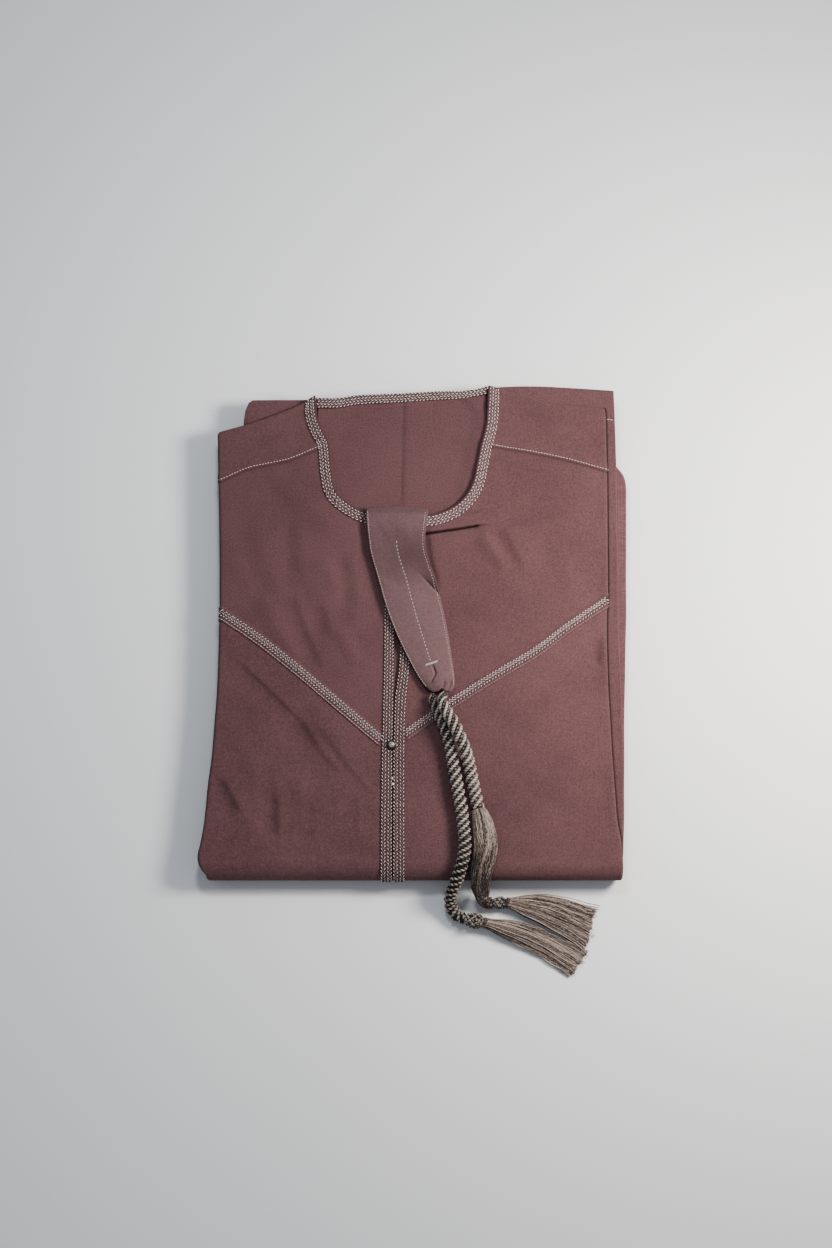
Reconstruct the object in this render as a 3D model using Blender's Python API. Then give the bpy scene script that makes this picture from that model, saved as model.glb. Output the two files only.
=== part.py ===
"""A long robe (jalabiya) folded into a flat bundle, face up, as sewn pieces and hidden layers.

All sizes are millimetres until a mesh is made. The bundle rests on z = 0, +Y points to the
neck and +X to the right as it is looked at. The origin is under the middle of the bundle.
"""
import math

import bmesh
import bpy
from mathutils import Vector

MM = 0.001

# Heights of the stack
TOP = 26.0                # top of the front cloth where it lies flat
WALL = 1.6                # front cloth with its turned and pressed seam allowances
SEAM_GAP = 0.3            # left between pieces that touch
BACK_TOP = 23.9           # inside of the back, seen through the neck
HEM_LOW, HEM_TOP = 20.3, 22.0
CORE_TOP = 20.0

# The bottom fold: the skirt turns down to the floor round a half circle
NOSE_Y = -201.4
NOSE_R = TOP / 2
NOSE_FILL_R = 6.9         # the hidden layers end in a smaller half circle inside it
FLOOR_RUN = 5.0           # cloth that goes on under the bundle after the fold

# The side folds: half turns at the left, a short turn at the right
LEFT_R, LEFT_TURN = 2.9, 165.0
RIGHT_R, RIGHT_TURN = 2.2, 120.0

LAP_WIDTH, LAP_HEIGHT = 11.6, 0.7     # felled chest seam, measured along Y
BAND_WIDTH, BAND_HEIGHT = 9.0, 1.1    # neck bands
STRIP_HEIGHT = 1.1                    # placket strips
CROWN, NECK_RISE, NECK_RISE_REACH = 1.8, 1.2, 60.0
PLACKET_ZONE = (-30.2, -8.8)          # x between which the strips lie on the front
PLACKET_TOP, PLACKET_STEP = 85.4, 15.0
WIDEST_Y = -196.0                     # the bundle is widest just above the bottom fold
LAP_SLOPE = 1.2                       # the lap comes down to the cloth over this

# y of the place, x of the front's left and right folds there
SIDE_FOLDS = [
    # y,      left,   right
    (-214.0, -175.4, 171.8),
    (-203.0, -181.0, 171.8),
    (-196.0, -182.5, 171.7),
    (-184.0, -180.3, 171.0),
    (-166.0, -177.4, 168.0),
    (-135.0, -175.0, 166.2),
    (-110.0, -172.2, 164.8),
    (-82.0, -170.5, 163.8),
    (-51.0, -168.8, 162.6),
    (-12.0, -168.3, 162.2),
    (13.0, -168.1, 162.8),
    (30.0, -168.4, 163.9),
    (60.0, -169.0, 164.3),
    (139.0, -171.7, 165.1),
    (182.0, -173.2, 165.0),
    (200.0, -173.4, 164.0),
]

# x along the bundle, y of the line there
LEFT_SHOULDER = [(-173.2, 172.3), (-147.3, 179.8), (-127.4, 186.8), (-98.0, 199.5), (-88.6, 205.4)]
RIGHT_SHOULDER = [(62.9, 214.6), (72.7, 212.0), (88.2, 207.4), (111.8, 200.5), (164.0, 194.1)]
LEFT_YOKE_SEAM = [(-169.3, 128.8), (-141.7, 140.4), (-112.5, 146.7), (-86.3, 157.3), (-76.7, 160.7)]
RIGHT_YOKE_SEAM = [(56.9, 161.4), (66.4, 159.6), (107.8, 152.6), (134.2, 146.6), (164.4, 137.9)]
LEFT_CHEST_SEAM = [(-165.9, 10.3), (-136.2, -10.1), (-104.8, -34.8), (-67.3, -66.9), (-20.0, -107.0)]
RIGHT_CHEST_SEAM = [
    (-20.0, -101.2), (28.6, -67.6), (63.5, -45.4), (102.7, -21.6), (128.9, -1.8), (163.4, 22.0),
]
NECKLINE = [
    (-89.2, 204.9), (-87.8, 187.7), (-82.0, 171.7), (-76.7, 160.7), (-74.0, 134.8), (-70.7, 119.0),
    (-61.1, 108.6), (-44.1, 99.4), (-19.0, 95.3), (-13.0, 95.2), (10.7, 96.0), (26.6, 100.8),
    (39.8, 110.3), (49.1, 125.3), (54.2, 148.7), (56.9, 161.4), (61.4, 179.0), (62.7, 196.0),
    (63.6, 214.2),
]
BACK_NECK_EDGE = [
    (-88.0, 203.4), (-72.1, 203.0), (-50.4, 206.0), (-14.4, 207.4), (12.2, 209.2), (38.9, 211.0),
    (63.0, 214.6),
]

# y of the place, x of the outer and inner edges of the two placket strips
PLACKET = [
    # y,     left out, left in, right in, right out
    (-250.0, -30.0, -20.3, -19.7, -9.9),
    (-214.0, -30.0, -20.3, -19.7, -9.9),
    (-104.0, -29.2, -20.2, -19.6, -10.1),
    (-90.0, -28.6, -19.7, -18.4, -9.9),
    (-65.0, -28.2, -19.5, -17.0, -8.7),
    (-31.0, -27.6, -19.3, -14.0, -5.8),
    (12.0, -27.4, -19.2, -13.4, -5.0),
    (96.0, -27.6, -19.0, -12.6, -4.0),
]

# The largest soft troughs: ends, half width and depth
TROUGHS = [
    # x0,     y0,     x1,    y1,   half width, depth
    (-112.0, 60.0, -78.0, -30.0, 20.0, 1.3),
    (-104.0, -66.0, -62.0, -126.0, 16.0, 0.9),
    (-166.0, -124.0, -140.0, -168.0, 16.0, 1.0),
    (70.0, 96.0, 128.0, 118.0, 18.0, 1.0),
    (112.0, -58.0, 74.0, -92.0, 18.0, 0.7),
]

# Hidden layers, from the floor up, each with how far its left fold sits in
LAYERS = [
    # low, high, left in, top, wide at the right
    (0.0, 5.8, 3.4, 196.0, False),
    (6.1, 9.6, 2.2, 199.0, False),
    (9.9, 13.0, 4.2, 194.0, True),
    (13.3, 16.5, 2.6, 200.0, True),
    (16.8, CORE_TOP, 3.6, 197.0, False),
]
# y of the place, x of the right fold of the wide layers and of the others
RIGHT_LAYERS = [
    # y,     wide,  others
    (-194.0, 173.6, 171.6),
    (-150.0, 175.0, 173.2),
    (-100.0, 176.2, 174.2),
    (-40.0, 178.2, 173.8),
    (30.0, 180.6, 174.4),
    (90.0, 182.0, 174.0),
    (124.0, 182.5, 174.2),
    (133.0, 181.8, 174.0),
    (139.5, 179.0, 173.6),
    (143.0, 174.6, 173.0),
    (149.0, 172.0, 172.0),
    (190.0, 171.2, 171.0),
]
LAYER_ROUND = 1.0

# Corner points of the folded-up skirt end with its hem at the top
HEM_OUTLINE = [
    (-150.5, -60.0), (-150.6, 150.0), (-149.6, 184.0), (-146.8, 198.0), (-145.4, 201.4), (-142.6, 202.8),
    (-98.0, 203.0), (-60.0, 203.4), (0.0, 206.6), (40.0, 209.2), (72.0, 214.6), (98.3, 215.5),
    (140.0, 213.6), (172.3, 211.4), (172.8, 184.0), (173.2, 140.0), (172.6, 60.0), (172.4, 0.0),
    (173.6, -54.0), (174.0, -114.0), (171.6, -190.0), (170.0, -200.6), (-120.0, -200.6),
]

# The tab across its length: the two edges and three heights of its middle surface
TAB_THICK = 2.0
TAB = [
    # left x, left y, right x, right y, z left, z mid, z right
    (-42.2, 102.9, 9.2, 101.7, 25.4, 25.4, 25.4),
    (-42.8, 102.7, 9.3, 101.5, 28.8, 28.8, 28.8),
    (-43.1, 101.6, 9.5, 100.4, 31.3, 31.4, 31.3),
    (-43.3, 98.4, 9.8, 97.6, 32.3, 32.5, 32.3),
    (-42.6, 86.0, 8.6, 87.0, 32.5, 33.2, 32.7),
    (-41.3, 75.0, 7.4, 76.0, 32.5, 33.6, 33.1),
    (-39.7, 64.0, 8.2, 64.0, 32.5, 34.0, 34.2),
    (-36.5, 52.0, 11.5, 52.5, 32.4, 34.4, 35.0),
    (-33.0, 40.0, 15.7, 41.0, 32.2, 34.6, 34.8),
    (-27.6, 20.4, 20.5, 22.0, 32.2, 34.6, 34.2),
    (-22.0, 4.0, 24.2, 5.0, 32.0, 34.2, 33.6),
    (-14.2, -14.5, 27.4, -13.0, 31.8, 33.8, 33.2),
    (-6.5, -30.0, 30.0, -30.0, 31.6, 33.6, 32.8),
    (1.5, -44.5, 32.0, -45.0, 31.8, 34.2, 33.0),
    (8.6, -54.2, 31.8, -53.0, 32.6, 35.6, 34.0),
    (13.4, -58.2, 29.0, -57.8, 33.6, 36.4, 35.0),
]

# The braided cords: points by hand along the middle, with the radius there
LEFT_CORD = [
    # x,    y,     z,    radius
    (12.5, -60.0, 33.2, 4.2),
    (14.4, -66.5, 33.2, 4.6),
    (18.0, -75.0, 33.8, 5.0),
    (22.4, -85.0, 34.6, 5.4),
    (26.4, -96.5, 34.4, 5.6),
    (29.0, -108.0, 34.0, 5.6),
    (31.0, -120.0, 33.8, 5.6),
    (33.0, -133.0, 33.6, 5.6),
    (35.3, -146.0, 33.4, 5.6),
    (37.5, -157.0, 33.2, 5.6),
    (38.8, -168.0, 33.0, 5.6),
    (39.9, -181.0, 32.7, 5.6),
    (39.8, -191.0, 32.6, 5.6),
    (38.2, -200.5, 32.4, 5.6),
    (35.2, -210.0, 30.2, 5.6),
    (31.8, -218.2, 24.8, 5.6),
    (29.0, -225.2, 17.0, 5.6),
    (28.2, -232.4, 10.4, 5.6),
    (30.4, -239.0, 6.9, 5.6),
    (34.8, -243.8, 6.1, 5.6),
    (39.6, -245.2, 6.1, 5.4),
]
RIGHT_CORD = [
    # x,    y,     z,    radius
    (23.0, -60.0, 37.4, 4.2),
    (21.6, -68.0, 41.4, 4.6),
    (25.2, -76.5, 43.0, 5.2),
    (30.6, -86.0, 43.6, 5.5),
    (36.0, -98.0, 42.4, 5.6),
    (40.4, -108.5, 39.2, 5.6),
    (44.0, -120.0, 35.2, 5.6),
    (46.4, -133.0, 33.8, 5.6),
    (49.0, -146.0, 33.5, 5.6),
    (51.2, -155.5, 33.3, 5.4),
]
# The loose, unbraided stretch that follows the right cord, and the tight curl at its end
FLOSS = [
    # x,    y,     z,    half width, half height
    (51.6, -157.2, 33.3, 5.2, 5.2),
    (52.6, -161.0, 33.4, 6.6, 5.8),
    (55.1, -170.0, 33.0, 8.3, 5.7),
    (56.9, -180.0, 32.7, 9.3, 5.4),
    (57.3, -190.0, 32.4, 9.4, 5.2),
    (55.6, -200.0, 32.0, 8.8, 5.0),
    (53.6, -210.2, 30.0, 8.4, 4.9),
    (53.0, -218.6, 23.4, 7.6, 4.8),
    (54.0, -224.6, 15.2, 6.6, 4.8),
    (55.2, -228.8, 9.8, 5.2, 4.8),
    (57.6, -231.6, 6.4, 4.7, 4.7),
    (60.4, -232.6, 5.5, 4.7, 4.7),
    (63.6, -232.4, 5.5, 4.6, 4.6),
]
ROUTE_STEP = 8.0          # length of one straight piece of a cord's tube
LEFT_KNOT = ((40.9, -245.5, 7.4), (55.6, -248.6, 7.4), 7.1)
RIGHT_KNOT = ((64.8, -232.3, 6.0), (74.4, -232.0, 6.0), 5.6)

# Tassels: the neck, the two outer corners of the fan's end, its heights and how its middle bows sideways
LEFT_TASSEL = {
    "neck": (56.3, -248.8, 6.2), "across": (0.30, 0.954), "near": (143.0, -272.6), "far": (129.0, -293.6),
    "bow": 4.0, "lift": 2.4,
}
RIGHT_TASSEL = {
    "neck": (75.1, -232.0, 5.8), "across": (0.08, 0.997), "near": (150.0, -239.0), "far": (146.6, -269.0),
    "bow": 7.0, "lift": 2.6,
}
TASSEL_ACROSS, TASSEL_UP = 12, 4
STRAND_LOW, STRAND_LAYER, STRAND_HALF_UP = 1.2, 1.9, 0.62
BEAD_PLACE, BEAD_R = (-21.0, -102.3), 4.0


def clear_scene():
    for thing in list(bpy.data.objects):
        bpy.data.objects.remove(thing, do_unlink=True)


def line_through(rows, column=1):
    """A smooth function of the first column through the rows, which never overshoots them."""
    xs = [row[0] for row in rows]
    ys = [row[column] for row in rows]
    steps = [(ys[i + 1] - ys[i]) / (xs[i + 1] - xs[i]) for i in range(len(xs) - 1)]
    slopes = [steps[0]]
    for before, after in zip(steps, steps[1:]):
        slopes.append(0.0 if before * after <= 0 else 2 * before * after / (before + after))
    slopes.append(steps[-1])

    def value(x):
        x = min(max(x, xs[0]), xs[-1])
        i = max(k for k in range(len(xs) - 1) if xs[k] <= x)
        width = xs[i + 1] - xs[i]
        t = (x - xs[i]) / width
        return (
            ys[i] * (1 + 2 * t) * (1 - t) ** 2
            + slopes[i] * width * t * (1 - t) ** 2
            + ys[i + 1] * t * t * (3 - 2 * t)
            + slopes[i + 1] * width * t * t * (t - 1)
        )

    return value


def ease(t):
    """0 below 0, 1 above 1 and smooth between."""
    t = min(max(t, 0.0), 1.0)
    return t * t * (3 - 2 * t)


left_fold = line_through(SIDE_FOLDS, 1)
right_fold = line_through(SIDE_FOLDS, 2)
left_shoulder = line_through(LEFT_SHOULDER)
right_shoulder = line_through(RIGHT_SHOULDER)
left_yoke_seam = line_through(LEFT_YOKE_SEAM)
right_yoke_seam = line_through(RIGHT_YOKE_SEAM)
left_chest_seam = line_through(LEFT_CHEST_SEAM)
right_chest_seam = line_through(RIGHT_CHEST_SEAM)
neckline = line_through(NECKLINE)
back_neck_edge = line_through(BACK_NECK_EDGE)
placket_edges = [line_through(PLACKET, column) for column in (1, 2, 3, 4)]

# Columns of the front's cloth beside the neck, which the neck bands share
LEFT_NECK_X = [
    -89.2, -88.5, -87.8, -86.0, -84.0, -82.0, -79.0, -76.7, -75.6, -74.8, -74.0, -72.5, -70.7, -66.0,
    -61.1, -53.0, -44.1, -32.0,
]
RIGHT_NECK_X = [
    -2.0, 10.7, 19.0, 26.6, 33.6, 39.8, 45.0, 49.1, 51.2, 53.0, 54.2, 55.5, 56.9, 59.0, 61.4, 62.1,
    62.7, 63.2, 63.6,
]
YOKE_COLUMNS = 7          # of the left neck columns that lie on the yoke
CHEST_COLUMNS = 13        # of the right neck columns that lie on the chest
NECK_POINTS = [(x, neckline(x)) for x in LEFT_NECK_X + [-19.0, -13.0] + RIGHT_NECK_X]


def to_segment(x, y, x0, y0, x1, y1):
    """Distance from a point to a straight stretch, and how far along that stretch it is."""
    along = ((x - x0) * (x1 - x0) + (y - y0) * (y1 - y0)) / ((x1 - x0) ** 2 + (y1 - y0) ** 2)
    along = min(max(along, 0.0), 1.0)
    return math.hypot(x - x0 - along * (x1 - x0), y - y0 - along * (y1 - y0)), along


def below_shoulder(x, y):
    """Distance from the shoulder folds, or from their corners at the neck between them."""
    (left_x, left_y), (right_x, right_y) = LEFT_SHOULDER[-1], RIGHT_SHOULDER[0]
    if x < left_x:
        return left_shoulder(x) - y
    if x > right_x:
        return right_shoulder(x) - y
    return min(math.dist((x, y), (left_x, left_y)), math.dist((x, y), (right_x, right_y)))


def relief(x, y):
    """How far the cloth stands above its flat height: a crown, a rise at the neck, and troughs."""
    edge = min(x - left_fold(y), right_fold(y) - x, y - NOSE_Y, below_shoulder(x, y))
    inside = ease((edge - 3.0) / 30.0)
    height = CROWN * (1 - (x / 175.0) ** 2) * (1 - (y / 215.0) ** 2)
    near = min(
        to_segment(x, y, *a, *b)[0] for a, b in zip(NECK_POINTS, NECK_POINTS[1:])
    )
    height += NECK_RISE * (1 - ease(near / NECK_RISE_REACH))
    for x0, y0, x1, y1, half, depth in TROUGHS:
        away, along = to_segment(x, y, x0, y0, x1, y1)
        height -= depth * (1 - ease(away / half)) * ease(4 * along + 0.2) * ease(4 * (1 - along) + 0.2)
    return max(height, 0.0) * inside


def lay(x, y, inward):
    """A point of the front's cloth from its flat place, turned round the side and bottom folds.

    inward is the depth under the outer face; a negative one stands proud of it.
    """
    left, right = left_fold(y), right_fold(y)
    depth = inward
    flat_x = min(max(x, left + LEFT_R), right - RIGHT_R)
    if x < left + LEFT_R:
        turn = (left + LEFT_R - x) / LEFT_R
        x = left + LEFT_R - (LEFT_R - inward) * math.sin(turn)
        depth = LEFT_R - (LEFT_R - inward) * math.cos(turn)
    elif x > right - RIGHT_R:
        turn = (x - right + RIGHT_R) / RIGHT_R
        x = right - RIGHT_R + (RIGHT_R - inward) * math.sin(turn)
        depth = RIGHT_R - (RIGHT_R - inward) * math.cos(turn)
    depth -= relief(flat_x, y)
    if y >= NOSE_Y:
        return (x, y, TOP - depth)
    turn = (NOSE_Y - y) / NOSE_R
    if turn <= math.pi:
        reach = NOSE_R - depth
        return (x, NOSE_Y - reach * math.sin(turn), NOSE_R + reach * math.cos(turn))
    return (x, NOSE_Y + (turn - math.pi) * NOSE_R, depth)


def edge_round(x, y):
    """How far the outer face drops at the shoulder fold, and how much thicker the cloth is there."""
    from_corner = max(LEFT_SHOULDER[-1][0] - x, x - RIGHT_SHOULDER[0][0])
    if from_corner < BAND_WIDTH:
        return 0.0, 0.0
    away = below_shoulder(x, y)
    from_sides = min(x - left_fold(y), right_fold(y) - x)
    drop = 1.0 * (1 - ease(away / 3.0)) * ease((from_corner - BAND_WIDTH) / 8.0)
    thicker = 1.5 * (1 - ease((away - 4.0) / 4.0)) * ease((from_sides - 6.0) / 8.0)
    thicker *= ease((from_corner - BAND_WIDTH) / 8.0)
    return drop, thicker


def material(name, colour, rough, metal=0.0):
    found = bpy.data.materials.get(name)
    if found:
        return found
    made = bpy.data.materials.new(name)
    made.use_nodes = True
    shader = made.node_tree.nodes["Principled BSDF"]
    shader.inputs["Base Color"].default_value = (*colour, 1.0)
    shader.inputs["Roughness"].default_value = rough
    shader.inputs["Metallic"].default_value = metal
    return made


def cloth():
    return material("rose_brown_cloth", (0.235, 0.125, 0.122), 0.9)


def tab_cloth():
    return material("tab_cloth", (0.225, 0.135, 0.140), 0.85)


def yarn():
    return material("taupe_yarn", (0.30, 0.25, 0.21), 0.7)


def bead_finish():
    return material("bead_metal", (0.45, 0.40, 0.36), 0.3, 0.8)


def solid(name, points, faces, finish, smooth=True):
    """One closed object, in metres, with its faces turned outwards."""
    mesh = bpy.data.meshes.new(name)
    mesh.from_pydata([(x * MM, y * MM, z * MM) for x, y, z in points], [], faces)
    shape = bmesh.new()
    shape.from_mesh(mesh)
    bmesh.ops.recalc_face_normals(shape, faces=shape.faces)
    shape.to_mesh(mesh)
    shape.free()
    mesh.materials.append(finish)
    if smooth:
        mesh.shade_smooth()
        mesh.set_sharp_from_angle(angle=math.radians(40))
    made = bpy.data.objects.new(name, mesh)
    bpy.context.scene.collection.objects.link(made)
    return made


def slab(name, outer, inner, finish):
    """A wall between two grids of points that match row by row."""
    rows, columns = len(outer), len(outer[0])
    count = rows * columns
    points = [p for row in outer for p in row] + [p for row in inner for p in row]
    faces = []
    for i in range(rows - 1):
        for j in range(columns - 1):
            a = i * columns + j
            b, c, d = a + 1, a + columns + 1, a + columns
            faces.append((a, b, c, d))
            faces.append((d + count, c + count, b + count, a + count))
    around = [j for j in range(columns)]
    around += [i * columns + columns - 1 for i in range(1, rows)]
    around += [(rows - 1) * columns + j for j in range(columns - 2, -1, -1)]
    around += [i * columns for i in range(rows - 2, 0, -1)]
    for a, b in zip(around, around[1:] + around[:1]):
        faces.append((b, a, a + count, b + count))
    return solid(name, points, faces, finish)


def loft(name, sections, finish):
    """A closed body through rings of points with the same count, with flat ends."""
    count = len(sections[0])
    points = [p for ring in sections for p in ring]
    faces = []
    for i in range(len(sections) - 1):
        for j in range(count):
            a, b = i * count + j, i * count + (j + 1) % count
            faces.append((a, b, b + count, a + count))
    faces.append(tuple(reversed(range(count))))
    last = (len(sections) - 1) * count
    faces.append(tuple(range(last, last + count)))
    return solid(name, points, faces, finish)


def left_turn_columns():
    """Columns that follow the left fold, from under it to its start, as functions of y."""
    nominal = LEFT_SHOULDER[0][0]
    turns = [LEFT_TURN, 125.0, 85.0, 42.0, 0.0]
    return [
        (nominal, lambda y, t=t: left_fold(y) + LEFT_R * (1 - math.radians(t))) for t in turns
    ]


def right_turn_columns():
    """Columns that follow the right fold, from its start to the cloth's end under it."""
    nominal = RIGHT_SHOULDER[-1][0]
    turns = [0.0, 42.0, 84.0, RIGHT_TURN]
    return [
        (nominal, lambda y, t=t: right_fold(y) - RIGHT_R * (1 - math.radians(t))) for t in turns
    ]


def fixed(xs):
    return [(x, lambda y, x=x: x) for x in xs]


def following(edge, nominal):
    return [(nominal, lambda y: edge(y))]


def panel(name, columns, top, bottom, top_rows, bottom_rows, between, lap=None):
    """One cut piece of the front between two lines, on columns that run down the cloth.

    top_rows and bottom_rows are distances from those lines, and between is the number of rows
    spread evenly over the rest. lap gives how far the outer face is raised at each bottom row.
    """
    outer, inner = [], []
    steps = []
    for i, down in enumerate(bottom_rows):
        steps.append(("bottom", down, i))
    for i in range(1, between + 1):
        steps.append(("between", i / (between + 1), None))
    for down in reversed(top_rows):
        steps.append(("top", down, None))
    for kind, value, index in steps:
        outer_row, inner_row = [], []
        for nominal, place in columns:
            high, low = top(nominal), bottom(nominal)
            first, last = low + bottom_rows[-1], high - top_rows[-1]
            if kind == "bottom":
                y = low + value
            elif kind == "top":
                y = high - value
            else:
                y = first + value * (last - first)
            x = place(y)
            raised = 0.0
            on_strip = PLACKET_ZONE[0] < x < PLACKET_ZONE[1]
            if lap and index is not None and not on_strip:
                raised = lap[index]
            drop, thicker = edge_round(x, y)
            outer_row.append(lay(x, y, drop - raised))
            inner_row.append(lay(x, y, WALL + thicker))
        outer.append(outer_row)
        inner.append(inner_row)
    return slab(name, outer, inner, cloth())


def shoulder_rows():
    """Distances under the shoulder fold, close together where its edge rounds down."""
    return [0.0, 0.8, 2.0, 4.5]


def make_yokes():
    def left_top(x):
        return min(left_shoulder(x), neckline(x)) if x >= LEFT_NECK_X[0] else left_shoulder(x)

    def right_top(x):
        return min(right_shoulder(x), neckline(x)) if x < RIGHT_NECK_X[-1] else right_shoulder(x)

    columns = left_turn_columns() + fixed([-150.0, -132.0, -115.0, -104.0, -97.0])
    columns += fixed(LEFT_NECK_X[:YOKE_COLUMNS])
    panel("yoke_left", columns, left_top, lambda x: left_yoke_seam(x) + SEAM_GAP / 2,
          shoulder_rows(), [0.0], 4)
    columns = fixed(RIGHT_NECK_X[CHEST_COLUMNS:] + [72.0, 80.0, 92.0, 110.0, 130.0, 148.0])
    columns += right_turn_columns()
    panel("yoke_right", columns, right_top, lambda x: right_yoke_seam(x) + SEAM_GAP / 2,
          shoulder_rows(), [0.0], 4)


def beside(x):
    """Two columns close together, between which a lap steps down beside the placket."""
    return [x - 0.5, x + 0.5]


def make_chests():
    lap_rows = [0.0, LAP_WIDTH, LAP_WIDTH + LAP_SLOPE]
    lap = [LAP_HEIGHT, LAP_HEIGHT, 0.0]

    def left_top(x):
        return left_yoke_seam(x) - SEAM_GAP / 2 if x <= LEFT_YOKE_SEAM[-1][0] else neckline(x)

    def right_top(x):
        return right_yoke_seam(x) - SEAM_GAP / 2 if x >= RIGHT_YOKE_SEAM[0][0] else neckline(x)

    columns = left_turn_columns() + fixed([-152.0, -134.0, -118.0, -104.0, -92.0, -82.0])
    columns += fixed(LEFT_NECK_X[YOKE_COLUMNS:] + beside(PLACKET_ZONE[0]))
    columns += following(placket_edges[1], -19.0)
    panel("chest_left", columns, left_top, lambda x: left_chest_seam(x) - LAP_WIDTH / 2,
          [0.0], lap_rows, 6, lap)
    columns = following(placket_edges[2], -13.0)
    columns += fixed(beside(PLACKET_ZONE[1]) + RIGHT_NECK_X[:CHEST_COLUMNS])
    columns += fixed([68.0, 82.0, 98.0, 114.0, 130.0, 147.0]) + right_turn_columns()
    panel("chest_right", columns, right_top, lambda x: right_chest_seam(x) - LAP_WIDTH / 2,
          [0.0], lap_rows, 6, lap)


def nose_rows():
    """Flat distances along the bottom fold, from the cloth's end under the bundle upwards."""
    turns = [180.0, 157.0, 134.0, 112.0, 90.0, 68.0, 46.0, 23.0, 0.0]
    length = NOSE_R * math.pi + FLOOR_RUN
    rows = [0.0] + [length - NOSE_R * math.radians(t) for t in turns]
    return rows + [length + WIDEST_Y - NOSE_Y]


def nose_end():
    return NOSE_Y - NOSE_R * math.pi - FLOOR_RUN


def make_skirts():
    columns = left_turn_columns() + fixed([-154.0, -134.0, -114.0, -94.0, -74.0, -56.0, -40.0])
    columns += fixed(beside(PLACKET_ZONE[0])) + following(placket_edges[1], -20.3)
    panel("skirt_left", columns, lambda x: left_chest_seam(x) - LAP_WIDTH / 2 - SEAM_GAP,
          lambda x: nose_end(), [0.0], nose_rows(), 6)
    columns = following(placket_edges[2], -19.7) + fixed(beside(PLACKET_ZONE[1]))
    columns += fixed([4.0, 22.0, 42.0, 62.0, 82.0, 102.0, 124.0, 146.0]) + right_turn_columns()
    panel("skirt_right", columns, lambda x: right_chest_seam(x) - LAP_WIDTH / 2 - SEAM_GAP,
          lambda x: nose_end(), [0.0], nose_rows(), 6)


def make_placket():
    """Two strips from the neck to the bottom fold, apart at the opening and side by side below it."""
    down = [PLACKET_TOP - PLACKET_STEP * k for k in range(19)]
    nose = [NOSE_Y - NOSE_R * math.radians(t) for t in (0.0, 23.0, 46.0, 68.0, 90.0, 112.0, 134.0)]
    places = down + nose
    for name, first, second in (("placket_left", 0, 1), ("placket_right", 2, 3)):
        outer, inner = [], []
        for y in places:
            a, b = placket_edges[first](y), placket_edges[second](y)
            xs = [a + 0.1, a + (b - a) * 0.5, b - 0.1]
            outer.append([lay(x, y, -STRIP_HEIGHT + away) for x, away in zip(xs, (0.2, 0.0, 0.2))])
            inner.append([lay(x, y, -SEAM_GAP) for x in xs])
        slab(name, outer, inner, cloth())


def band_section(x, y, out_x, out_y):
    """The neck band's cross-section at one place: it lies on the front and turns down over its edge."""
    profile = [
        (BAND_WIDTH, SEAM_GAP), (BAND_WIDTH, BAND_HEIGHT - 0.2), (BAND_WIDTH / 2, BAND_HEIGHT + 0.1),
        (0.4, BAND_HEIGHT), (-0.8, 0.7), (-1.3, -0.2), (-1.2, -WALL), (-0.3, -WALL), (-0.3, SEAM_GAP),
    ]
    ring = []
    for out, up in profile:
        px, py = x + out_x * out, y + out_y * out
        near_x, near_y = (px, py) if out > 0 else (x, y)
        drop, _ = edge_round(near_x, near_y)
        ring.append((px, py, lay(near_x, near_y, drop)[2] + up))
    return ring


def make_neck_bands():
    """Bands round the front of the neck, from each shoulder to the opening."""
    sides = (
        ("neck_band_left", LEFT_NECK_X + [-19.3], (-0.84, -0.54), 1),
        ("neck_band_right", [-12.7] + RIGHT_NECK_X, (0.95, -0.31), -1),
    )
    for name, xs, corner, side in sides:
        stations = [(x, neckline(x)) for x in xs]
        ends = len(stations) - 1
        rings = []
        for i, (x, y) in enumerate(stations):
            before, after = stations[max(i - 1, 0)], stations[min(i + 1, ends)]
            along = Vector((after[0] - before[0], after[1] - before[1])).normalized()
            out = Vector((along.y, -along.x))
            from_corner = math.dist((x, y), stations[0] if side > 0 else stations[-1])
            out = out.lerp(Vector(corner), 1 - ease(from_corner / 18.0)).normalized()
            rings.append(band_section(x, y, out.x, out.y))
        loft(name, rings, cloth())


def make_back():
    """The inside of the back, seen through the neck, and the band along its top edge."""
    xs = [
        -85.6, -81.0, -75.0, -69.0, -61.0, -50.0, -37.0, -24.0, -12.0, 0.0, 14.0, 26.0, 37.0, 46.0, 53.0,
        60.4,
    ]

    def under_front(x):
        return neckline(x) - 8.0

    outer, inner = [], []
    for i in range(7):
        row_out, row_in = [], []
        for x in xs:
            high = back_neck_edge(x) - 0.9
            y = under_front(x) + (high - under_front(x)) * i / 6
            crease = -0.3 * (1 - ease(abs(x + 14.0) / 14.0))
            row_out.append((x, y, BACK_TOP + crease))
            row_in.append((x, y, HEM_TOP + SEAM_GAP))
        outer.append(row_out)
        inner.append(row_in)
    slab("back", outer, inner, cloth())

    rings = []
    for x in [-85.8] + xs[1:-1] + [60.6]:
        y = back_neck_edge(x)
        width = 7.6 if x < -20 else 7.0
        top = BACK_TOP + 0.9 + 0.9 * ease((abs(x + 12.0) - 40.0) / 34.0)
        rings.append([
            (x, y - width, BACK_TOP + SEAM_GAP), (x, y - width, top - 0.2), (x, y - width / 2, top + 0.1),
            (x, y - 1.0, top), (x, y - 0.2, top - 0.8), (x, y, top - 1.6), (x, y - 0.1, HEM_TOP + 0.5),
            (x, y - 0.6, HEM_TOP + 0.5), (x, y - 0.6, BACK_TOP + SEAM_GAP),
        ])
    loft("neck_band_back", rings, cloth())


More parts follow.
